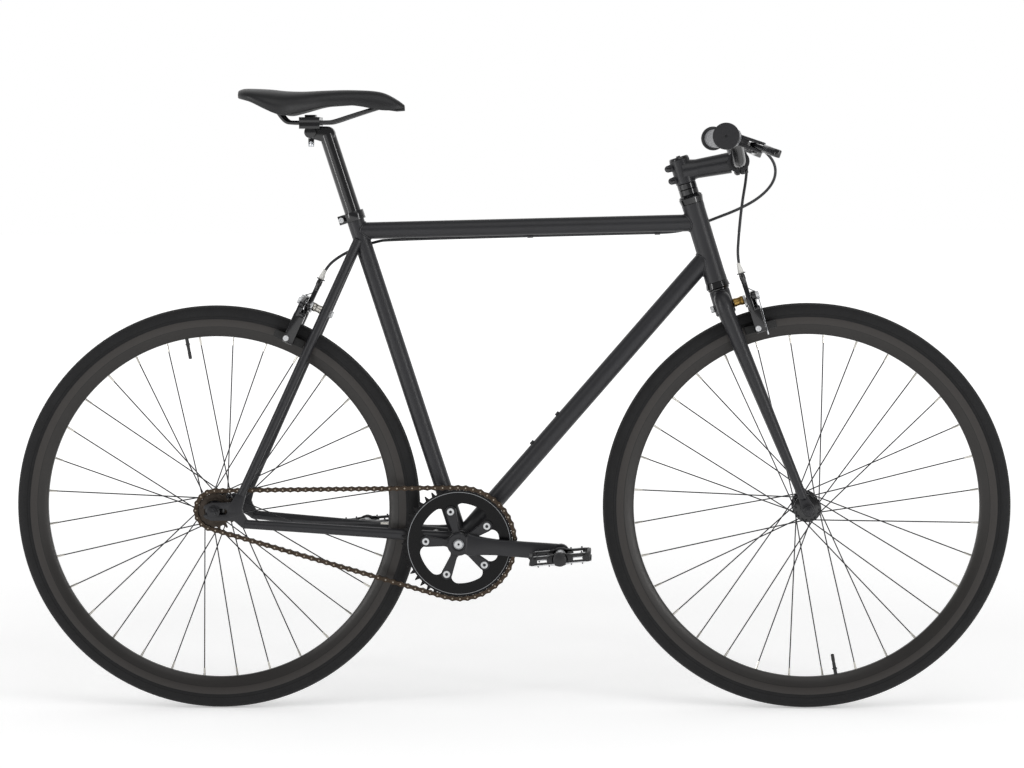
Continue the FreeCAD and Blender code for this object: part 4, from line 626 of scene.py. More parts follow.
def laceWheel(end, spec, around):
    wires, nipples = bmesh.new(), bmesh.new()
    step = 2 * pi / spoke["count"]
    for side in sides:
        for k in range(spoke["count"]):
            lead = 1 if k % 2 else -1
            turn = step * (k + side * spoke["offset"])
            across = side * (spec["flange"] + spoke["outside" if lead > 0 else "inside"])
            start = around(spoke["hubRadius"], turn, across)
            foot = around(spoke["rimRadius"], turn + lead * spoke["crossing"] * step, 0)
            way = (foot - start).normalized()
            rod(wires, start, foot, spoke["thickness"], segments=8)
            through = around(spoke["hubRadius"], turn, side * spec["flange"] - lead * side * spoke["through"])
            rod(wires, start, through, spoke["thickness"], segments=8)
            tall, first, last = spoke["head"]
            rod(wires, through, through - yAxis * side * lead * tall * mm, first, last, 8)
            rod(nipples, foot - way * spoke["nippleLength"] * mm, foot, *spoke["nippleRadii"], 8)
    finishPiece(wires, end + "Spokes", end + "_wheel", ("spoke_steel", "blackSpokeSteel"), (end + "_spokes",))
    finishPiece(nipples, end + "Nipples", end + "_wheel", ("spoke_steel", "nickelPlatedBrass"))


for end, spec in wheels.items():
    hub, body = spec["hub"], end + "_wheel"

    def around(radius, turn, across):
        return hub + at(radius * cos(turn), across, radius * sin(turn))

    turnPiece(end + "HubShell", body, gloss, hubOutline(spec), hub, yAxis, 64, True, (end + "_hub",))
    laceWheel(end, spec, around)
    rim = [(r, -y) for r, y in rimHalf] + [(r, y) for r, y in reversed(rimHalf)] + list(rimBed)
    turnPiece(end + "Rim", body, ("rim_alloy", end + "RimAluminium"), rim, hub, yAxis, wheelSteps, True,
              (end + "_rim",), 25)
    turns = [2 * pi * k / tyreRing["count"] for k in range(tyreRing["count"])]
    tyre = [(tyreRing["centre"] + tyreRing["radius"] * cos(a), tyreRing["radius"] * sin(a)) for a in turns]
    turnPiece(end + "Tyre", body, ("tyre", end + "TyreRubber"), tyre, hub, yAxis, wheelSteps, True, (end + "_tyre",))
    turn = radians(spec["valve"])
    inward = -(around(1, turn, 0) - hub).normalized()
    turnPiece(end + "Valve", body, ("tyre", "mouldedNylon"), valve["outline"], around(valve["foot"], turn, 0),
              inward, 20)
    print(end, "wheel laced")
softCopy("rear_cog", "rear_wheel", ("steel", "oiledSprocketSteel"), 0.3)
axleTips = {"rear": {"body": "frame", "hub": rearHub, "radius": 4.65, "from": 76.5, "to": 83},
            "front": {"body": "steering", "hub": frontHub, "radius": 4.15, "from": 64.5, "to": 70}}
for end, spec in axleTips.items():
    softCopy(end + "_axle", spec["body"], ("steel", "satinAnodisedAluminium"), 0.6)
    r, low, high = spec["radius"], spec["from"], spec["to"]
    tip = ((0, low), (r, low), (r, high - 0.8), (r - 0.8, high - 0.1), (0, high - 0.1))
    bm = bmesh.new()
    for side in sides:
        lathe(bm, tip, spec["hub"], yAxis * side, 24)
    finishPiece(bm, end + "AxleTips", spec["body"], stainless)


# Chain: pins on both sprockets at their tooth pitch, with even runs between them
drive = {"line": -44, "pitch": 12.7, "ringTeeth": 46, "cogTeeth": 16}
chainLink = {"plateRadius": 4.4, "waist": 2.7, "inner": 1.65, "outer": 2.75, "plate": 1.0, "rollerRadius": 3.8,
             "pinRadii": (1.9, 1.3), "pinFoot": 3.0, "pinReach": 4.3}


def pitchRadius(teeth):
    return drive["pitch"] / (2 * sin(pi / teeth))


def chainPins():
    ringRadius, cogRadius = pitchRadius(drive["ringTeeth"]), pitchRadius(drive["cogTeeth"])
    run = (rearHub - bracket) / mm
    lean = acos((ringRadius - cogRadius) / run.length)
    first = atan2(run.z, run.x) - lean
    ringStep, cogStep = 2 * pi / drive["ringTeeth"], 2 * pi / drive["cogTeeth"]
    ringCount, cogCount = int((2 * pi - 2 * lean) / ringStep) + 1, int(2 * lean / cogStep) + 1

    def pinAt(centre, radius, turn):
        return centre + at(radius * cos(turn), drive["line"], radius * sin(turn))

    onRing = [pinAt(bracket, ringRadius, first - ringStep * k) for k in range(ringCount)]
    onCog = [pinAt(rearHub, cogRadius, first + cogStep * k) for k in reversed(range(cogCount))]
    spans = ((onRing[-1], onCog[0]), (onCog[-1], onRing[0]))
    counts = [round((b - a).length / (drive["pitch"] * mm)) for a, b in spans]
    counts[0] += (ringCount + cogCount + sum(counts)) % 2
    runs = [[a.lerp(b, k / count) for k in range(1, count)] for (a, b), count in zip(spans, counts)]
    return onRing + runs[0] + onCog + runs[1]


def raiseFaces(bm, faces, height, matrix):
    raised = bmesh.ops.extrude_face_region(bm, geom=faces)["geom"]
    lift = matrix.to_3x3() @ at(0, 0, height)
    bmesh.ops.translate(bm, vec=lift, verts=[g for g in raised if isinstance(g, bmesh.types.BMVert)])


def linkPlate(bm, matrix, span, low, high):
    # two round eyes with a waist between them
    radius, waist = chainLink["plateRadius"], chainLink["waist"]
    eye = [(radius * cos(radians(a)), radius * sin(radians(a))) for a in range(-126, 127, 36)]
    corners = [(span + x, y) for x, y in eye] + [(span / 2, waist)] + [(-x, -y) for x, y in eye] + [(span / 2, -waist)]
    face = bm.faces.new([bm.verts.new(matrix @ at(x, y, low)) for x, y in corners])
    raiseFaces(bm, [face], high - low, matrix)


pins = chainPins()
plates, rollers = bmesh.new(), bmesh.new()
across = yAxis * mm
for k, pin in enumerate(pins):
    ahead = pins[(k + 1) % len(pins)] - pin
    along = ahead.normalized()
    matrix = axesAt(pin, along, along.cross(yAxis))
    low, inner = chainLink["outer"] if k % 2 else chainLink["inner"], chainLink["inner"]
    for side in sides:
        linkPlate(plates, matrix, ahead.length / mm, side * low, side * (low + chainLink["plate"]))
    rod(rollers, pin - across * inner, pin + across * inner, chainLink["rollerRadius"], segments=10)
    for side in sides:
        rod(rollers, pin + across * side * chainLink["pinFoot"], pin + across * side * chainLink["pinReach"],
            *chainLink["pinRadii"], 8)
finishPiece(plates, "chainPlates", "frame", ("chain_steel", "bronzePlatedChain"), ("chain",))
finishPiece(rollers, "chainPins", "frame", ("chain_steel", "polishedChainPin"))
print("chain laid", len(pins))


# Cranks, chainring and bolts: plates cut on outlines of arcs, with rounded openings between the spider's arms
ring = {"bolts": 55, "start": 32, "count": 5, "step": 72, "opening": 67.2, "corner": 11.7, "cornerCircle": 55.5,
        "cornerTurn": 20.5, "cornerArc": 72, "edgeGap": 5, "tab": 8, "hubCorner": 30, "armTip": 9.2, "back": 42.6,
        "front": 45.4, "spiderFront": 51.4,
        "tooth": ((88.7, -3.3), (92, -2.1), (96, -0.8), (96, 0.8), (92, 2.1), (88.7, 3.3))}
crank = {"heading": -4, "length": 170, "rootMiddle": 54.5, "endMiddle": 73, "half": 6.5, "hubRadius": 19,
         "hubBack": 8.5, "taper": 8.2, "recess": 11, "recessDepth": 4, "eyeRadius": 14.6, "eyeBore": 4.8, "end": 14.2,
         "widths": ((11.4, 11.5), (12.6, 15.6), (16, 17.4), (24, 16.9), (42, 14.6), (62, 13.2), (110, 13.2),
                    (150, 13.9))}
boltTurns = [ring["start"] + ring["step"] * k for k in range(ring["count"])]


def polar(radius, turn, centre=(0, 0)):
    turn = radians(turn)
    return (centre[0] + radius * cos(turn), centre[1] + radius * sin(turn))


def arc(centre, radius, first, last, steps):
    return [polar(radius, first + (last - first) * k / steps, centre) for k in range(steps + 1)]


def cutPlate(bm, outlines, low, high, matrix, softness, segments=1):
    # a flat plate between closed outlines, raised and with its edges softened
    part = bmesh.new()
    edges = []
    for outline in outlines:
        verts = [part.verts.new(matrix @ at(x, y, low)) for x, y in outline]
        edges += [part.edges.new(pair) for pair in zip(verts, verts[1:] + verts[:1])]
    if len(outlines) == 1:
        part.faces.new(verts)
    else:
        bmesh.ops.triangle_fill(part, edges=edges, use_beauty=True)
    raiseFaces(part, part.faces[:], high - low, matrix)
    bmesh.ops.recalc_face_normals(part, faces=part.faces)
    soften(part, softness, 60, segments)
    addTo(bm, part)


def ringOutlines():
    start = pins[0] - bracket
    phase = degrees(atan2(start.z, start.x)) + 180 / drive["ringTeeth"]
    outer = []
    for k in range(drive["ringTeeth"]):
        turn = phase + 360 * k / drive["ringTeeth"]
        outer += [polar(r, turn + degrees(across / r)) for r, across in ring["tooth"]]
    inner = []
    for bolt in boltTurns:
        first, last = bolt + ring["cornerTurn"], bolt + ring["step"] - ring["cornerTurn"]
        inner += arc(polar(ring["bolts"], bolt), ring["tab"], bolt - 90, bolt - 270, 8)
        inner += arc(polar(ring["cornerCircle"], first), ring["corner"], first - ring["cornerArc"], first, 6)
        inner += arc((0, 0), ring["opening"], first + ring["edgeGap"], last - ring["edgeGap"], 4)
        inner += arc(polar(ring["cornerCircle"], last), ring["corner"], last, last + ring["cornerArc"], 6)
    return outer, inner


def armOutline(long):
    return ([(x, -half) for x, half in crank["widths"]] + arc((long, 0), crank["end"], -84, 84, 14)
            + [(x, half) for x, half in reversed(crank["widths"])])


def spiderOutline():
    # round arm ends, and one hollow arc between each pair of arms
    tip, corner, halfStep = ring["armTip"], ring["corner"], ring["step"] / 2
    gap = Vector(polar(ring["hubCorner"], halfStep)) - Vector((ring["bolts"], 0))
    side = degrees(atan2(gap.y, gap.x) - acos((tip + corner) / gap.length))
    outline = []
    for bolt in boltTurns:
        outline += arc(polar(ring["bolts"], bolt), tip, bolt - side, bolt + side, 10)
        hollow = polar(ring["hubCorner"], bolt + halfStep)
        outline += arc(hollow, corner, bolt + side + 180, bolt + ring["step"] + 180 - side, 8)
    return outline


ringFrame = axesAt(bracket, xAxis, zAxis)
bm = bmesh.new()
cutPlate(bm, ringOutlines(), ring["back"], ring["front"], ringFrame, 0.3)
finishPiece(bm, "chainring", "crank", ("black_alloy", "turnedChainring"), ("chainring",))
for hand, side, heading in (("right", -1, crank["heading"]), ("left", 1, crank["heading"] + 180)):
    turn = radians(heading)
    along, out = Vector((cos(turn), 0, sin(turn))), yAxis * side
    slope = (along * crank["length"] + out * (crank["endMiddle"] - crank["rootMiddle"])).normalized()
    armFrame = axesAt(bracket + out * crank["rootMiddle"] * mm, slope, along.cross(out).normalized())
    half = crank["half"]
    bm = bmesh.new()
    cutPlate(bm, (armOutline(crank["length"] / slope.dot(along)),), -half, half, armFrame, 3.2, 3)
    low, high, r = crank["rootMiddle"] - crank["hubBack"], crank["rootMiddle"] + half, crank["hubRadius"]
    recess, floor = crank["recess"], high - crank["recessDepth"]
    lathe(bm, ((crank["taper"], low), (r - 1, low), (r, low + 1), (r, high - 2), (r - 2, high), (recess + 0.6, high),
               (recess, high - 0.6), (recess, floor), (crank["taper"], floor)), bracket, out, 56, True)
    low, high, r = crank["endMiddle"] - half, crank["endMiddle"] + half, crank["eyeRadius"]
    eye = bracket + along * crank["length"] * mm
    lathe(bm, ringOutline(crank["eyeBore"], r, r, low, high, 1.5), eye, out, 48, True)
    if hand == "right":
        cutPlate(bm, (spiderOutline(),), ring["front"], ring["spiderFront"], ringFrame, 1.2)
    finishPiece(bm, hand + "Crank", "crank", satin, (hand + "_crank",))
softCopy("crank_spindle", "crank", stainless, 0.4)
crankBolts = {
    "ringFace": -51.4, "ringHead": ((0, 1.0), (2.9, 1.0), (2.9, 2.0), (5.4, 2.0), (6, 1.4), (6, 0), (0, 0)),
    "ringBack": -42.6, "ringNut": ((0, 0), (5, 0), (5, 1.5), (4.4, 2.0), (2.6, 2.0), (2.6, 1.2), (0, 1.2)),
    "ringSocket": (-52.3, -52.55, 2.8), "armFace": 58, "armSocket": (59.3, 59.6, 2.0),
    "armHead": ((0, 1.4), (3.2, 1.4), (3.2, 2.9), (6, 2.9), (6.7, 2.2), (6.7, 0), (0, 0))}
bolts, sockets = bmesh.new(), bmesh.new()
for turn in boltTurns:
    x, z = polar(ring["bolts"], turn)
    spot = bracket + at(x, 0, z)
    lathe(bolts, crankBolts["ringHead"], spot + yAxis * crankBolts["ringFace"] * mm, -yAxis, 24)
    lathe(bolts, crankBolts["ringNut"], spot + yAxis * crankBolts["ringBack"] * mm, yAxis, 24)
    low, high, r = crankBolts["ringSocket"]
    rod(sockets, spot + at(0, low, 0), spot + at(0, high, 0), r, segments=6)
for side in sides:
    lathe(bolts, crankBolts["armHead"], bracket + yAxis * side * crankBolts["armFace"] * mm, yAxis * side, 32)
    low, high, r = crankBolts["armSocket"]
    rod(sockets, bracket + at(0, side * low, 0), bracket + at(0, side * high, 0), r, segments=6)
finishPiece(bolts, "crankBolts", "crank", zinc, ("crank_bolts",))
finishPiece(sockets, "boltSockets", "crank", ("steel", "blackSpokeSteel"))
softCopy("pedal_axles", "crank", zinc, 0.5)


# Pedals: a resin cage with slots, stud pins and a capped barrel; the bright zinc plates on the cage's edges are a
# painted highlight, standing in for light reflected off glossy black edges
pedal = {"tilt": 5, "half": 51, "inner": 90, "outer": 156, "height": 7.5, "rail": 4.2, "wall": 6,
         "inset": 8, "highlightInset": 9, "highlightRise": 0.5, "highlightSoftness": 0.2, "post": (14, 6, 1),
         "eyes": ((13, 8.7, 0.8), (3, 11, 1.0)), "studs": (-36, -18, 18, 36), "stud": (2.8, 1.7, 1.2),
         "collar": ((4.7, 84.3), (8, 84.3), (9, 85.5), (9, 97), (4.7, 97)),
         "cap": ((0, 149), (11.5, 149), (11.5, 158.5), (10.6, 161), (8, 162.6), (0, 163)),
         "barrel": ((4.7, 96), (8.4, 96), (7.4, 112), (7.4, 134), (8.4, 150), (4.7, 150)),
         "right": {"eye": (83.7, 0, 272.1), "side": -1}, "left": {"eye": (-255.4, 0, 295.9), "side": 1}}
for hand in ("right", "left"):
    side, body, spot = pedal[hand]["side"], hand + "_pedal", at(*pedal[hand]["eye"])
    tilt = radians(pedal["tilt"])
    cage = axesAt(spot, Vector((cos(tilt), 0, sin(tilt))), yAxis * side)
    upright = cage @ Matrix(((1, 0, 0, 0), (0, 0, 1, 0), (0, 1, 0, 0), (0, 0, 0, 1)))
    half, top, wall, rail = pedal["half"], pedal["height"], pedal["wall"], pedal["rail"]
    inner, outer, inset, edge = pedal["inner"], pedal["outer"], pedal["inset"], pedal["highlightInset"]
    lid, softness = top + pedal["highlightRise"], pedal["highlightSoftness"]
    postFrom, postTo, postGap = pedal["post"]
    bm, bright = bmesh.new(), bmesh.new()
    for low, high in ((inner, inner + wall), (outer - wall, outer)):
        for way in sides:
            slab(bm, (-half + inset, low, way * top), (half - inset, high, way * (top - rail)), cage)
            slab(bm, (way * (half - postFrom), low, -top + postGap), (way * (half - postTo), high, top - postGap), cage)
            # painted highlight: bright zinc plates on the side rails' faces stand in for light reflected off the glossy
            # black edges
            sunk, past = (1.4, 0.3) if way > 0 else (0.4, -1.2)
            near, away = (-half + edge, low + 1.2, way * (top - sunk)), (half - edge, high + past, way * lid)
            slab(bright, near, away, cage, softness)
            tall, first, last = pedal["stud"]
            middle = (low + high) / 2
            for x in pedal["studs"]:
                rod(bm, cage @ at(x, middle, way * top), cage @ at(x, middle, way * (top + tall)), first, last, 10)
        for reach, radius, rounding in pedal["eyes"]:
            hullLink(bm, (-reach, 0), (reach, 0), radius, radius, low, high, upright, rounding)
    for way in sides:
        for low, high in ((-top, -top + rail), (top - rail, top)):
            slab(bm, (way * (half - wall), inner + inset, low), (way * half, outer - inset, high), cage, 1.2)
        for across in (inner, outer - 10):
            slab(bm, (way * (half - 11), across + 1, -top), (way * (half - 2), across + 9, top), cage, 2.0)
        # painted highlight: bright zinc plates on the end bars' faces stand in for light reflected off the glossy black
        # edges
        near, away = (way * (half - wall + 1), inner + edge, top - 0.4), (way * (half - 1), outer - edge, lid)
        slab(bright, near, away, cage, softness)
    lathe(bm, pedal["collar"], spot, yAxis * side, 32, True)
    lathe(bm, pedal["cap"], spot, yAxis * side, 32)
    lathe(bright, pedal["barrel"], spot, yAxis * side, 32, True)
    finishPiece(bm, hand + "PedalCage", body, ("pedal_plastic", "mouldedNylon"), (hand + "_pedal",))
    finishPiece(bright, hand + "PedalBarrelAndHighlights", body, zinc)
print("cranks and pedals dressed")


# Fork: unicrown arch, tapered blades and flat ends
fork = {"half": 36, "blade": 352, "arch": 373.5, "shoulder": .45, "radius": 13.5, "tip": (31, 52.5, 24), "tipRadius": 7,
        "endRadius": 11, "endHalf": 2.5,
        "crown": ((0, 346), (15.5, 346), (17, 348), (17, 385.5), (16, 388), (0, 388))}
half, low, high = fork["half"], fork["blade"], fork["arch"]
bend = half * fork["shoulder"]
corners = ((-half, low), (-half, high), (-bend, high), (bend, high), (half, high), (half, low))
arch = [steer(0, y, z) for y, z in corners]
bentTube("forkArch", arch, [fork["radius"]] * len(arch), "steering", paint, ("fork_crown",))
turnPiece("forkCrown", "steering", paint, fork["crown"], steerFoot, steerUp)
bm = bmesh.new()
out, spread, up = fork["tip"]
for side in sides:
    tip = steer(out, side * spread, up)
    rod(bm, steer(0, side * half, low), tip, fork["radius"], fork["tipRadius"], 48)
    bmesh.ops.create_uvsphere(bm, u_segments=24, v_segments=12, radius=fork["tipRadius"] * mm,
                              matrix=Matrix.Translation(tip))
    hullLink(bm, (frontHub.x / mm, frontHub.z / mm), (tip.x / mm, tip.z / mm), fork["endRadius"], fork["tipRadius"],
             -side * spread - fork["endHalf"], -side * spread + fork["endHalf"], sideFrame)
finishPiece(bm, "forkBlades", "steering", paint, ("fork_blades",))
softCopy("fork_steerer", "steering", stainless, 0.3)
print("fork dressed")


# Stem, bar and grips
stem = {"low": 573.1, "high": 614.1, "column": 16.8, "steerer": 14.4, "start": (286.89, 0, 898.01),
        "bar": (378.48, 0, 914.16), "root": 15.2, "mouth": 17.4, "mouthGap": 13.5, "flare": (27, 19.5, 15.4),
        "clamp": 18.2, "clampHalf": 22, "bore": 12.8, "split": 0.6, "lug": (8.2, 15, 22.6), "earBolts": (583.1, 604.1),
        "ear": ((-12, 6.6), (-22, 5.6)), "earHalf": 9}
stemStart, barCentre = at(*stem["start"]), at(*stem["bar"])
ahead = (barCentre - stemStart).normalized()
clampFrame = axesAt(barCentre, ahead, -ahead.cross(yAxis))


def halfClamp(side):
    # one half of the bar clamp, cut from a ring, with its two bolt lugs
    part = bmesh.new()
    wide, split, (deep, near, far) = stem["clampHalf"], stem["split"], stem["lug"]
    lathe(part, ringOutline(stem["bore"], stem["clamp"], stem["clamp"], -wide, wide, 1.2), barCentre, yAxis, 64, True)
    bmesh.ops.bisect_plane(part, geom=part.verts[:] + part.edges[:] + part.faces[:], dist=0.001 * mm,
                           plane_no=-ahead * side, plane_co=barCentre + ahead * side * split * mm, clear_outer=True)
    bmesh.ops.holes_fill(part, edges=[e for e in part.edges if e.is_boundary])
    for way in sides:
        slab(part, (side * split, way * near, -wide + 1), (side * deep, way * far, wide - 1), clampFrame, 2.2)
    return part


bm = bmesh.new()
column = ringOutline(stem["steerer"], stem["column"], stem["column"], stem["low"], stem["high"])
lathe(bm, column, steerFoot, steerUp, 64, True)
rod(bm, stemStart, barCentre - ahead * stem["mouthGap"] * mm, stem["root"], stem["mouth"], 56)
long, first, last = stem["flare"]
rod(bm, stemStart, stemStart + ahead * long * mm, first, last, 56)
columnFrame = axesAt(steerFoot, steerOut, steerUp)
for up in stem["earBolts"]:
    ear = [(out, up, radius) for out, radius in stem["ear"]]
    hullChain(bm, ear, -stem["earHalf"], stem["earHalf"], columnFrame, 1.2)
addTo(bm, halfClamp(-1))
finishPiece(bm, "stem", "steering", satin, ("stem",))
finishPiece(halfClamp(1), "stemFaceplate", "steering", satin, ("stem_faceplate",))
softCopy("stem_bolts", "steering", gloss, 0.6)

# each point of half the bar: across, along, up and its radius
handlebar = (
    (0, 378.48, 914.16, 12.7), (26, 378.48, 914.16, 12.7), (40, 378.48, 914.16, 11.3), (52, 377.8, 916.6, 11.1),
    (66, 375.5, 926, 11.1), (93, 371, 943.8, 11.1), (108, 368.8, 951.4, 11.1), (126, 366.7, 951.9, 11.1),
    (210, 357.5, 952.7, 11.1), (301.5, 347.53, 953.65, 11.1))
route = [(x, -y, z, r) for y, x, z, r in reversed(handlebar[1:])] + [(x, y, z, r) for y, x, z, r in handlebar]
spots, radii = [at(*p[:3]) for p in route], [p[3] for p in route]
bentTube("handlebar", spots, radii, "steering", gloss, ("handlebar",), resolution=10)
grip = {"place": (347.48, 302, 953.66), "inward": (0.108487, -0.994047, -0.010092), "first": 8, "rib": 5.4, "ribs": 19,
        "flange": ((0, -1.2), (2.2, -1.2), (2.2, -3), (19.8, -3), (21, -2), (21, 3), (20, 4), (16.8, 4.8), (16, 6.5),
                   (11.2, 6.5)),
        "start": ((11.2, 6.6), (16, 6.6)), "end": ((16, 112), (16, 116), (15.2, 118), (11.2, 118)),
        "ridge": ((16, 0), (16, 3.4), (15.4, 3.9), (15.4, 4.9))}
feet = [grip["first"] + k * grip["rib"] for k in range(grip["ribs"])]
sleeve = [*grip["start"], *((r, foot + a) for foot in feet for r, a in grip["ridge"]), *grip["end"]]
flanges, sleeves = bmesh.new(), bmesh.new()
for side in sides:
    x, y, z = grip["place"]
    inward = Vector(grip["inward"]) * Vector((1, side, 1))
    lathe(flanges, grip["flange"], at(x, y * side, z), inward, 48)
    lathe(sleeves, sleeve, at(x, y * side, z), inward, 48)
finishPiece(flanges, "grips", "steering", ("grip_rubber", "gripRubber"), ("grips",))
finishPiece(sleeves, "gripSleeves", "steering", ("grip_rubber", "gripSleeveRubber"))


# Brake levers: flat blades with round edges on clamped perches
lever = {"spot": (361.665, 172, 952.344), "forward": (.939312, .105827, -.326334),
         "outward": (-.108487, .994047, .010092), "root": ((38, 0, 7.5), (59, 18, 7)), "rootHalf": 3.5,
         "blade": ((59, 18, 7), (61, 72, 5.5), (70, 98, 5), (82, 116, 6.5)), "bladeHalf": 6.4,
         "cheek": ((12, 0, 11), (46, 3, 8.5)), "cheeks": ((-9, -4.2), (4.2, 9)),
         "bridge": ((12, 0, 10), (20, 0, 8)), "bridgeHalf": 4.5}
softCopy("lever_clamps", "steering", satinBlack, 0.8)
for hand, side in (("right", -1), ("left", 1)):
    spot, forward, outward = (Vector(lever[k]) * Vector((1, side, 1)) for k in ("spot", "forward", "outward"))
    matrix = axesAt(spot * mm, forward, outward)
    bm = bmesh.new()
    for part in ("root", "blade"):
        half = lever[part + "Half"]
        hullChain(bm, lever[part], -half, half, matrix, 2.0, 32)
    finishPiece(bm, hand + "Lever", hand + "_lever", gloss, (hand + "_lever",))
    bm = bmesh.new()
    for low, high in lever["cheeks"]:
        hullChain(bm, lever["cheek"], low, high, matrix, 1.4)
    hullChain(bm, lever["bridge"], -lever["bridgeHalf"], lever["bridgeHalf"], matrix, 0.8)
    finishPiece(bm, hand + "LeverPerch", "steering", satinBlack)
print("bar dressed")


# Brakes: caliper arms, pads, bolts, cable boots and bare wires
calipers = {
    "front": {"origin": (355.19, 0, 674.62), "across": yAxis, "up": steerUp, "standoff": 34, "reach": 50.31,
              "hub": frontHub, "bolt": "steering", "spacer": (17, 33.8), "spacerMaterial": "turnedBrass"},
    "rear": {"origin": (-307.55, 0, 666.62), "across": -yAxis, "up": Vector((.41947, 0, .90777)), "standoff": 24,
             "reach": 63.93, "hub": rearHub, "bolt": "frame", "spacer": (7, 23.8),
             "spacerMaterial": "nickelPlatedBrass"},
}
# lengths in mm from the caliper's bolt: across, up, and outwards from the standoff
brake = {"arms": {"cross": (13, 21), "side": (4.5, 12.5)}, "foot": (3, 22), "footRadii": (8.5, 8.2), "footTop": 16,
         "crossArm": ((-26, 4, 7), (0, 0, 10.5), (27, -7, 9.5)), "sideArm": ((-26, 22, 6.8), (-26, -6, 9.5)),
         "sideStub": ((-26, -6, 9), (-4, -4, 8.5)), "armTip": (25.5, 7.2),
         "spacerFoot": ((5, 0), (6.9, 0), (7.4, 3), (6.7, 5)),
         "spacerHead": ((6.7, -6), (7.6, -4.5), (7.6, -1.5), (7, 0), (5, 0)),
         "pad": (16.15, 12.75), "padBolt": 32, "anchor": (-26, 4, 21), "adjuster": (-26, 45, 8.5),
         "wire": ((-26, 24, 8.5), (-26, 16, 13), (-26, 9, 23.5), (-26, 0, 24), (-25, -24, 24), (-26.5, -60, 22)),
         "wireRadius": 0.8, "wireEnd": (-5, 1, 1.5, 1.3),
         "padSize": (25.2, 3.0, 4.2), "blocks": (-15, -5, 5, 15), "blockSize": (3.6, 3.25, 4.0), "shoe": (2.6, 7.5),
         "shoeSize": (27, 6.5),
         "padHead": ((0, 4.3), (2.2, 4.3), (2.2, 5.2), (4.3, 5.2), (4.9, 4.5), (4.9, 0), (0, 0)),
         "anchorHead": ((0, 4.6), (2, 4.6), (2, 5.4), (4.4, 5.4), (5, 4.7), (5, 1.2), (6.2, 1.2), (6.2, 0), (0, 0)),
         "barrelRim": ((2.6, -1), (7.2, -1), (7.6, -0.5), (7.6, 0.3), (7.2, 0.7), (2.6, 0.7)),
         "barrel": ((3.6, -24), (4.4, -24), (4.4, -12), (5, -11), (5, -4), (4.4, -3), (4.4, -1), (3.6, -1)),
         "boot": ((2.5, 0.7), (5, 0.7), (4.7, 5), (3.4, 12), (3.0, 17), (2.5, 17.4))}


def caliperArm(end, name, chains, place, far):
    bm = bmesh.new()
    body, (low, high) = end + "_" + name + "_arm", brake["arms"][name]
    for chain in chains:
        hullChain(bm, chain, far + low, far + high, place, 1.6)
    (x, y, _), (u, v, _) = chains[0][-2:]
    low, high = brake["foot"]
    hullLink(bm, (x, y - brake["footTop"]), (u, v), *brake["footRadii"], far + low, far + high, place, 2.4)
    finishPiece(bm, body + "Arm", body, gloss, (end + "_caliper_" + name + "_arm",))


for end, spec in calipers.items():
    place = axesAt(at(*spec["origin"]), spec["across"], spec["up"])
    acrossDir, upDir, outDir = (place.to_3x3().col[k].copy() for k in range(3))
    far, reach = spec["standoff"], spec["reach"]
    x, r = brake["armTip"]
    caliperArm(end, "cross", ((*brake["crossArm"], (x, -reach, r)),), place, far)
    caliperArm(end, "side", ((*brake["sideArm"], (-x, -reach, r)), brake["sideStub"]), place, far)
    softCopy(end + "_brake_bolt", spec["bolt"], zinc, 0.5)
    low, high = spec["spacer"]
    spacer = [(r, low + a) for r, a in brake["spacerFoot"]] + [(r, high + a) for r, a in brake["spacerHead"]]
    turnPiece(end + "BrakeSpacer", spec["bolt"], ("steel", spec["spacerMaterial"]), spacer, at(*spec["origin"]), outDir,
              12, True)

    for side, name in ((1, "cross"), (-1, "side")):
        body = end + "_" + name + "_arm"
        across, deep = brake["pad"]
        padMiddle = place @ at(side * across, -reach, far + deep)
        radial = padMiddle - spec["hub"]
        tangent = yAxis.cross(Vector((radial.x, 0, radial.z))).normalized()
        padFrame = axesAt(padMiddle, tangent, yAxis)
        pads, silver = bmesh.new(), bmesh.new()
        long, thick, tall = brake["padSize"]
        slab(pads, (-long, -thick, -tall), (long, thick, tall), padFrame, 1.2)
        long, thick, tall = brake["blockSize"]
        for x in brake["blocks"]:
            slab(pads, (x - long, -thick, -tall), (x + long, thick, tall), padFrame, 0.6)
        near, back = sorted(acrossDir.y * side * y for y in brake["shoe"])
        long, tall = brake["shoeSize"]
        slab(pads, (-long, near, -tall), (long, back, tall), padFrame, 2.2)
        finishPiece(pads, body + "Pad", body, ("tyre", "brakePadRubber"))
        armMiddle = far + sum(brake["arms"][name]) / 2
        lathe(silver, brake["padHead"], place @ at(side * brake["padBolt"], -reach, armMiddle), acrossDir * side, 24)
        if name == "cross":
            x, y, z = brake["anchor"]
            lathe(silver, brake["anchorHead"], place @ at(x, y, far + z), outDir, 24)
            wire = [place @ at(x, y, far + z) for x, y, z in brake["wire"]]
            bentTube(end + "BareWire", wire, [brake["wireRadius"]] * len(wire), body, stainless, resolution=8)
            low, high, first, last = brake["wireEnd"]
            rod(silver, wire[-1] + upDir * low * mm, wire[-1] + upDir * high * mm, first, last, 12)
        else:
            x, y, z = brake["adjuster"]
            rim = place @ at(x, y, far + z)
            barrel = bmesh.new()
            lathe(barrel, brake["barrelRim"], rim, upDir, 32, True)
            lathe(barrel, brake["barrel"], rim, upDir, 16, True)
            finishPiece(barrel, end + "AdjusterBarrel", body, gloss)
            turnPiece(end + "CableBoot", body, ("cable_housing", "whiteRubber"), brake["boot"], rim, upDir, 24, True)
        finishPiece(silver, body + "Bolts", body, zinc)
    print(end, "brake dressed")


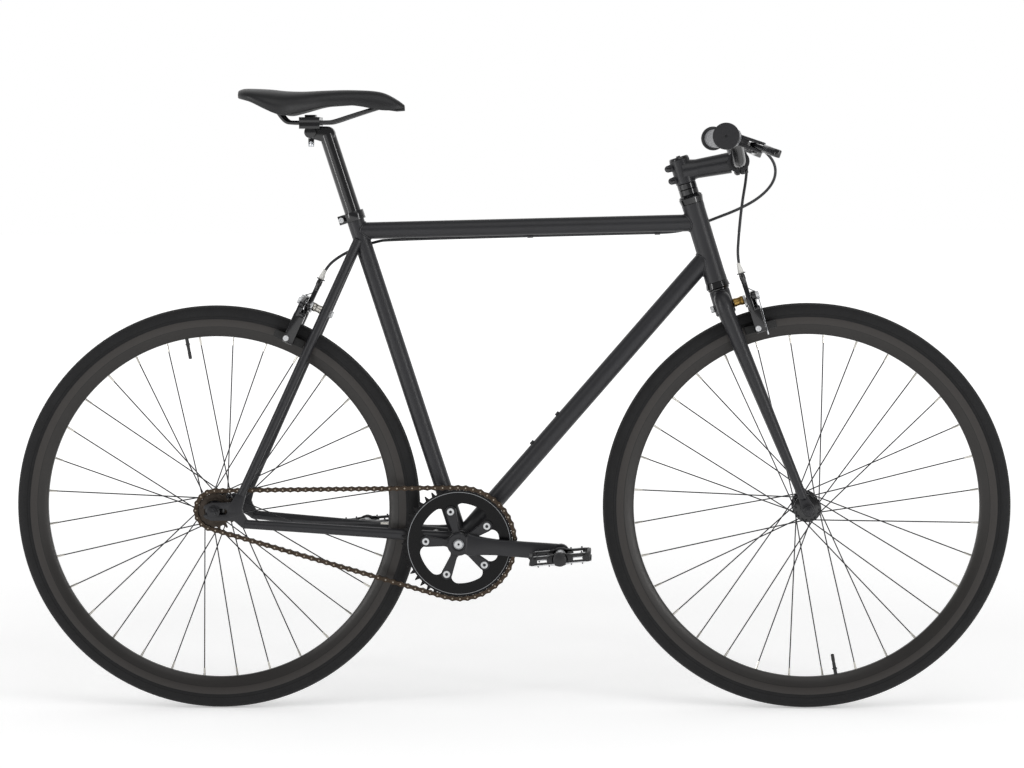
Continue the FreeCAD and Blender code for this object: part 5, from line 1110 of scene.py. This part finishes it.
# World, lamps and floor
lights = {"world": 0.56, "room": 0.28, "roomTilt": -0.9, "roomEdges": (-0.6, 0.7), "target": (0, 0, 0.5), "lamps": {
    "key": {"place": (0.6, -2.2, 3.6), "watts": 30, "size": (3.0, 3.0)},
    "leftStrip": {"place": (-3.0, -1.9, 1.1), "watts": 26, "size": (0.45, 2.4)},
    "rightStrip": {"place": (2.9, -2.4, 1.2), "watts": 30, "size": (0.45, 2.4)}}}
paper = {"size": 30, "tone": "#f2f2f2", "near": 1.2, "far": 4.0, "glow": (0.33, 0.68)}
white = colour("#ffffff")


def addWorld(spec):
    # white all round the camera's view, while polished faces see a dim room in front of and above the paper
    world = bpy.data.worlds.new("studio")
    scene.world = world
    world.use_nodes = True
    tree = world.node_tree
    tree.nodes.clear()
    path = addNode(tree, "LightPath", give=None)
    way = addNode(tree, "SeparateXYZ", {0: addNode(tree, "TexCoord")}, None)
    tilt = calc(tree, "MULTIPLY_ADD", way["Z"], spec["roomTilt"], way["Y"])
    low, high = spec["roomEdges"]
    room = addNode(tree, "MapRange", {0: tilt, 1: low, 2: high, 3: spec["room"], 4: 1.0})
    clear = calc(tree, "MAXIMUM", path["Is Camera Ray"], path["Is Transmission Ray"])
    soft = addNode(tree, "Background", {"Color": white, "Strength": spec["world"]})
    mirrored = addNode(tree, "Background", {"Color": white, "Strength": room})
    plain = addNode(tree, "Background", {"Color": white, "Strength": 1.0})
    mix = addNode(tree, "MixShader", {0: path["Is Glossy Ray"], 1: soft, 2: mirrored})
    mix = addNode(tree, "MixShader", {0: clear, 1: mix, 2: plain})
    addNode(tree, "OutputWorld", {"Surface": mix}, None)


def addLamp(name, spec, target):
    data = bpy.data.lights.new(name, "AREA")
    data.shape = "RECTANGLE"
    data.energy, (data.size, data.size_y) = spec["watts"], spec["size"]
    lamp = bpy.data.objects.new(name, data)
    lamp.location = spec["place"]
    lamp.rotation_mode = "QUATERNION"
    lamp.rotation_quaternion = (Vector(target) - Vector(spec["place"])).to_track_quat("-Z", "Y")
    scene.collection.objects.link(lamp)


def addFloor(spec):
    # white seamless paper: bright, with only the soft shadow left on it
    bm = bmesh.new()
    bmesh.ops.create_grid(bm, x_segments=1, y_segments=1, size=spec["size"])
    mesh = bpy.data.meshes.new("floor")
    bm.to_mesh(mesh)
    bm.free()
    floor = bpy.data.objects.new("floor", mesh)
    scene.collection.objects.link(floor)
    made = bpy.data.materials.new("paperFloor")
    made.use_nodes = True
    tree = made.node_tree
    tree.nodes.clear()
    path = addNode(tree, "LightPath", give=None)
    sheet = addNode(tree, "BsdfDiffuse", {"Color": colour(spec["tone"])})
    place = addNode(tree, "TexCoord", give="Object")
    away = addNode(tree, "VectorMath", {0: place}, 1, operation="LENGTH")
    low, high = spec["glow"]
    lift = addNode(tree, "MapRange", {0: away, 1: spec["near"], 2: spec["far"], 3: low, 4: high})
    seen = calc(tree, "MAXIMUM", path["Is Camera Ray"], path["Is Glossy Ray"])
    seen = calc(tree, "MAXIMUM", seen, path["Is Transmission Ray"])
    seen = calc(tree, "MULTIPLY", seen, lift)
    glow = addNode(tree, "Emission", {"Color": white, "Strength": seen})
    lifted = addNode(tree, "AddShader", {0: sheet, 1: glow})
    addNode(tree, "OutputMaterial", {"Surface": lifted}, None)
    mesh.materials.append(made)


addWorld(lights)
for name, spec in lights["lamps"].items():
    addLamp(name, spec, lights["target"])
addFloor(paper)
print("lit")
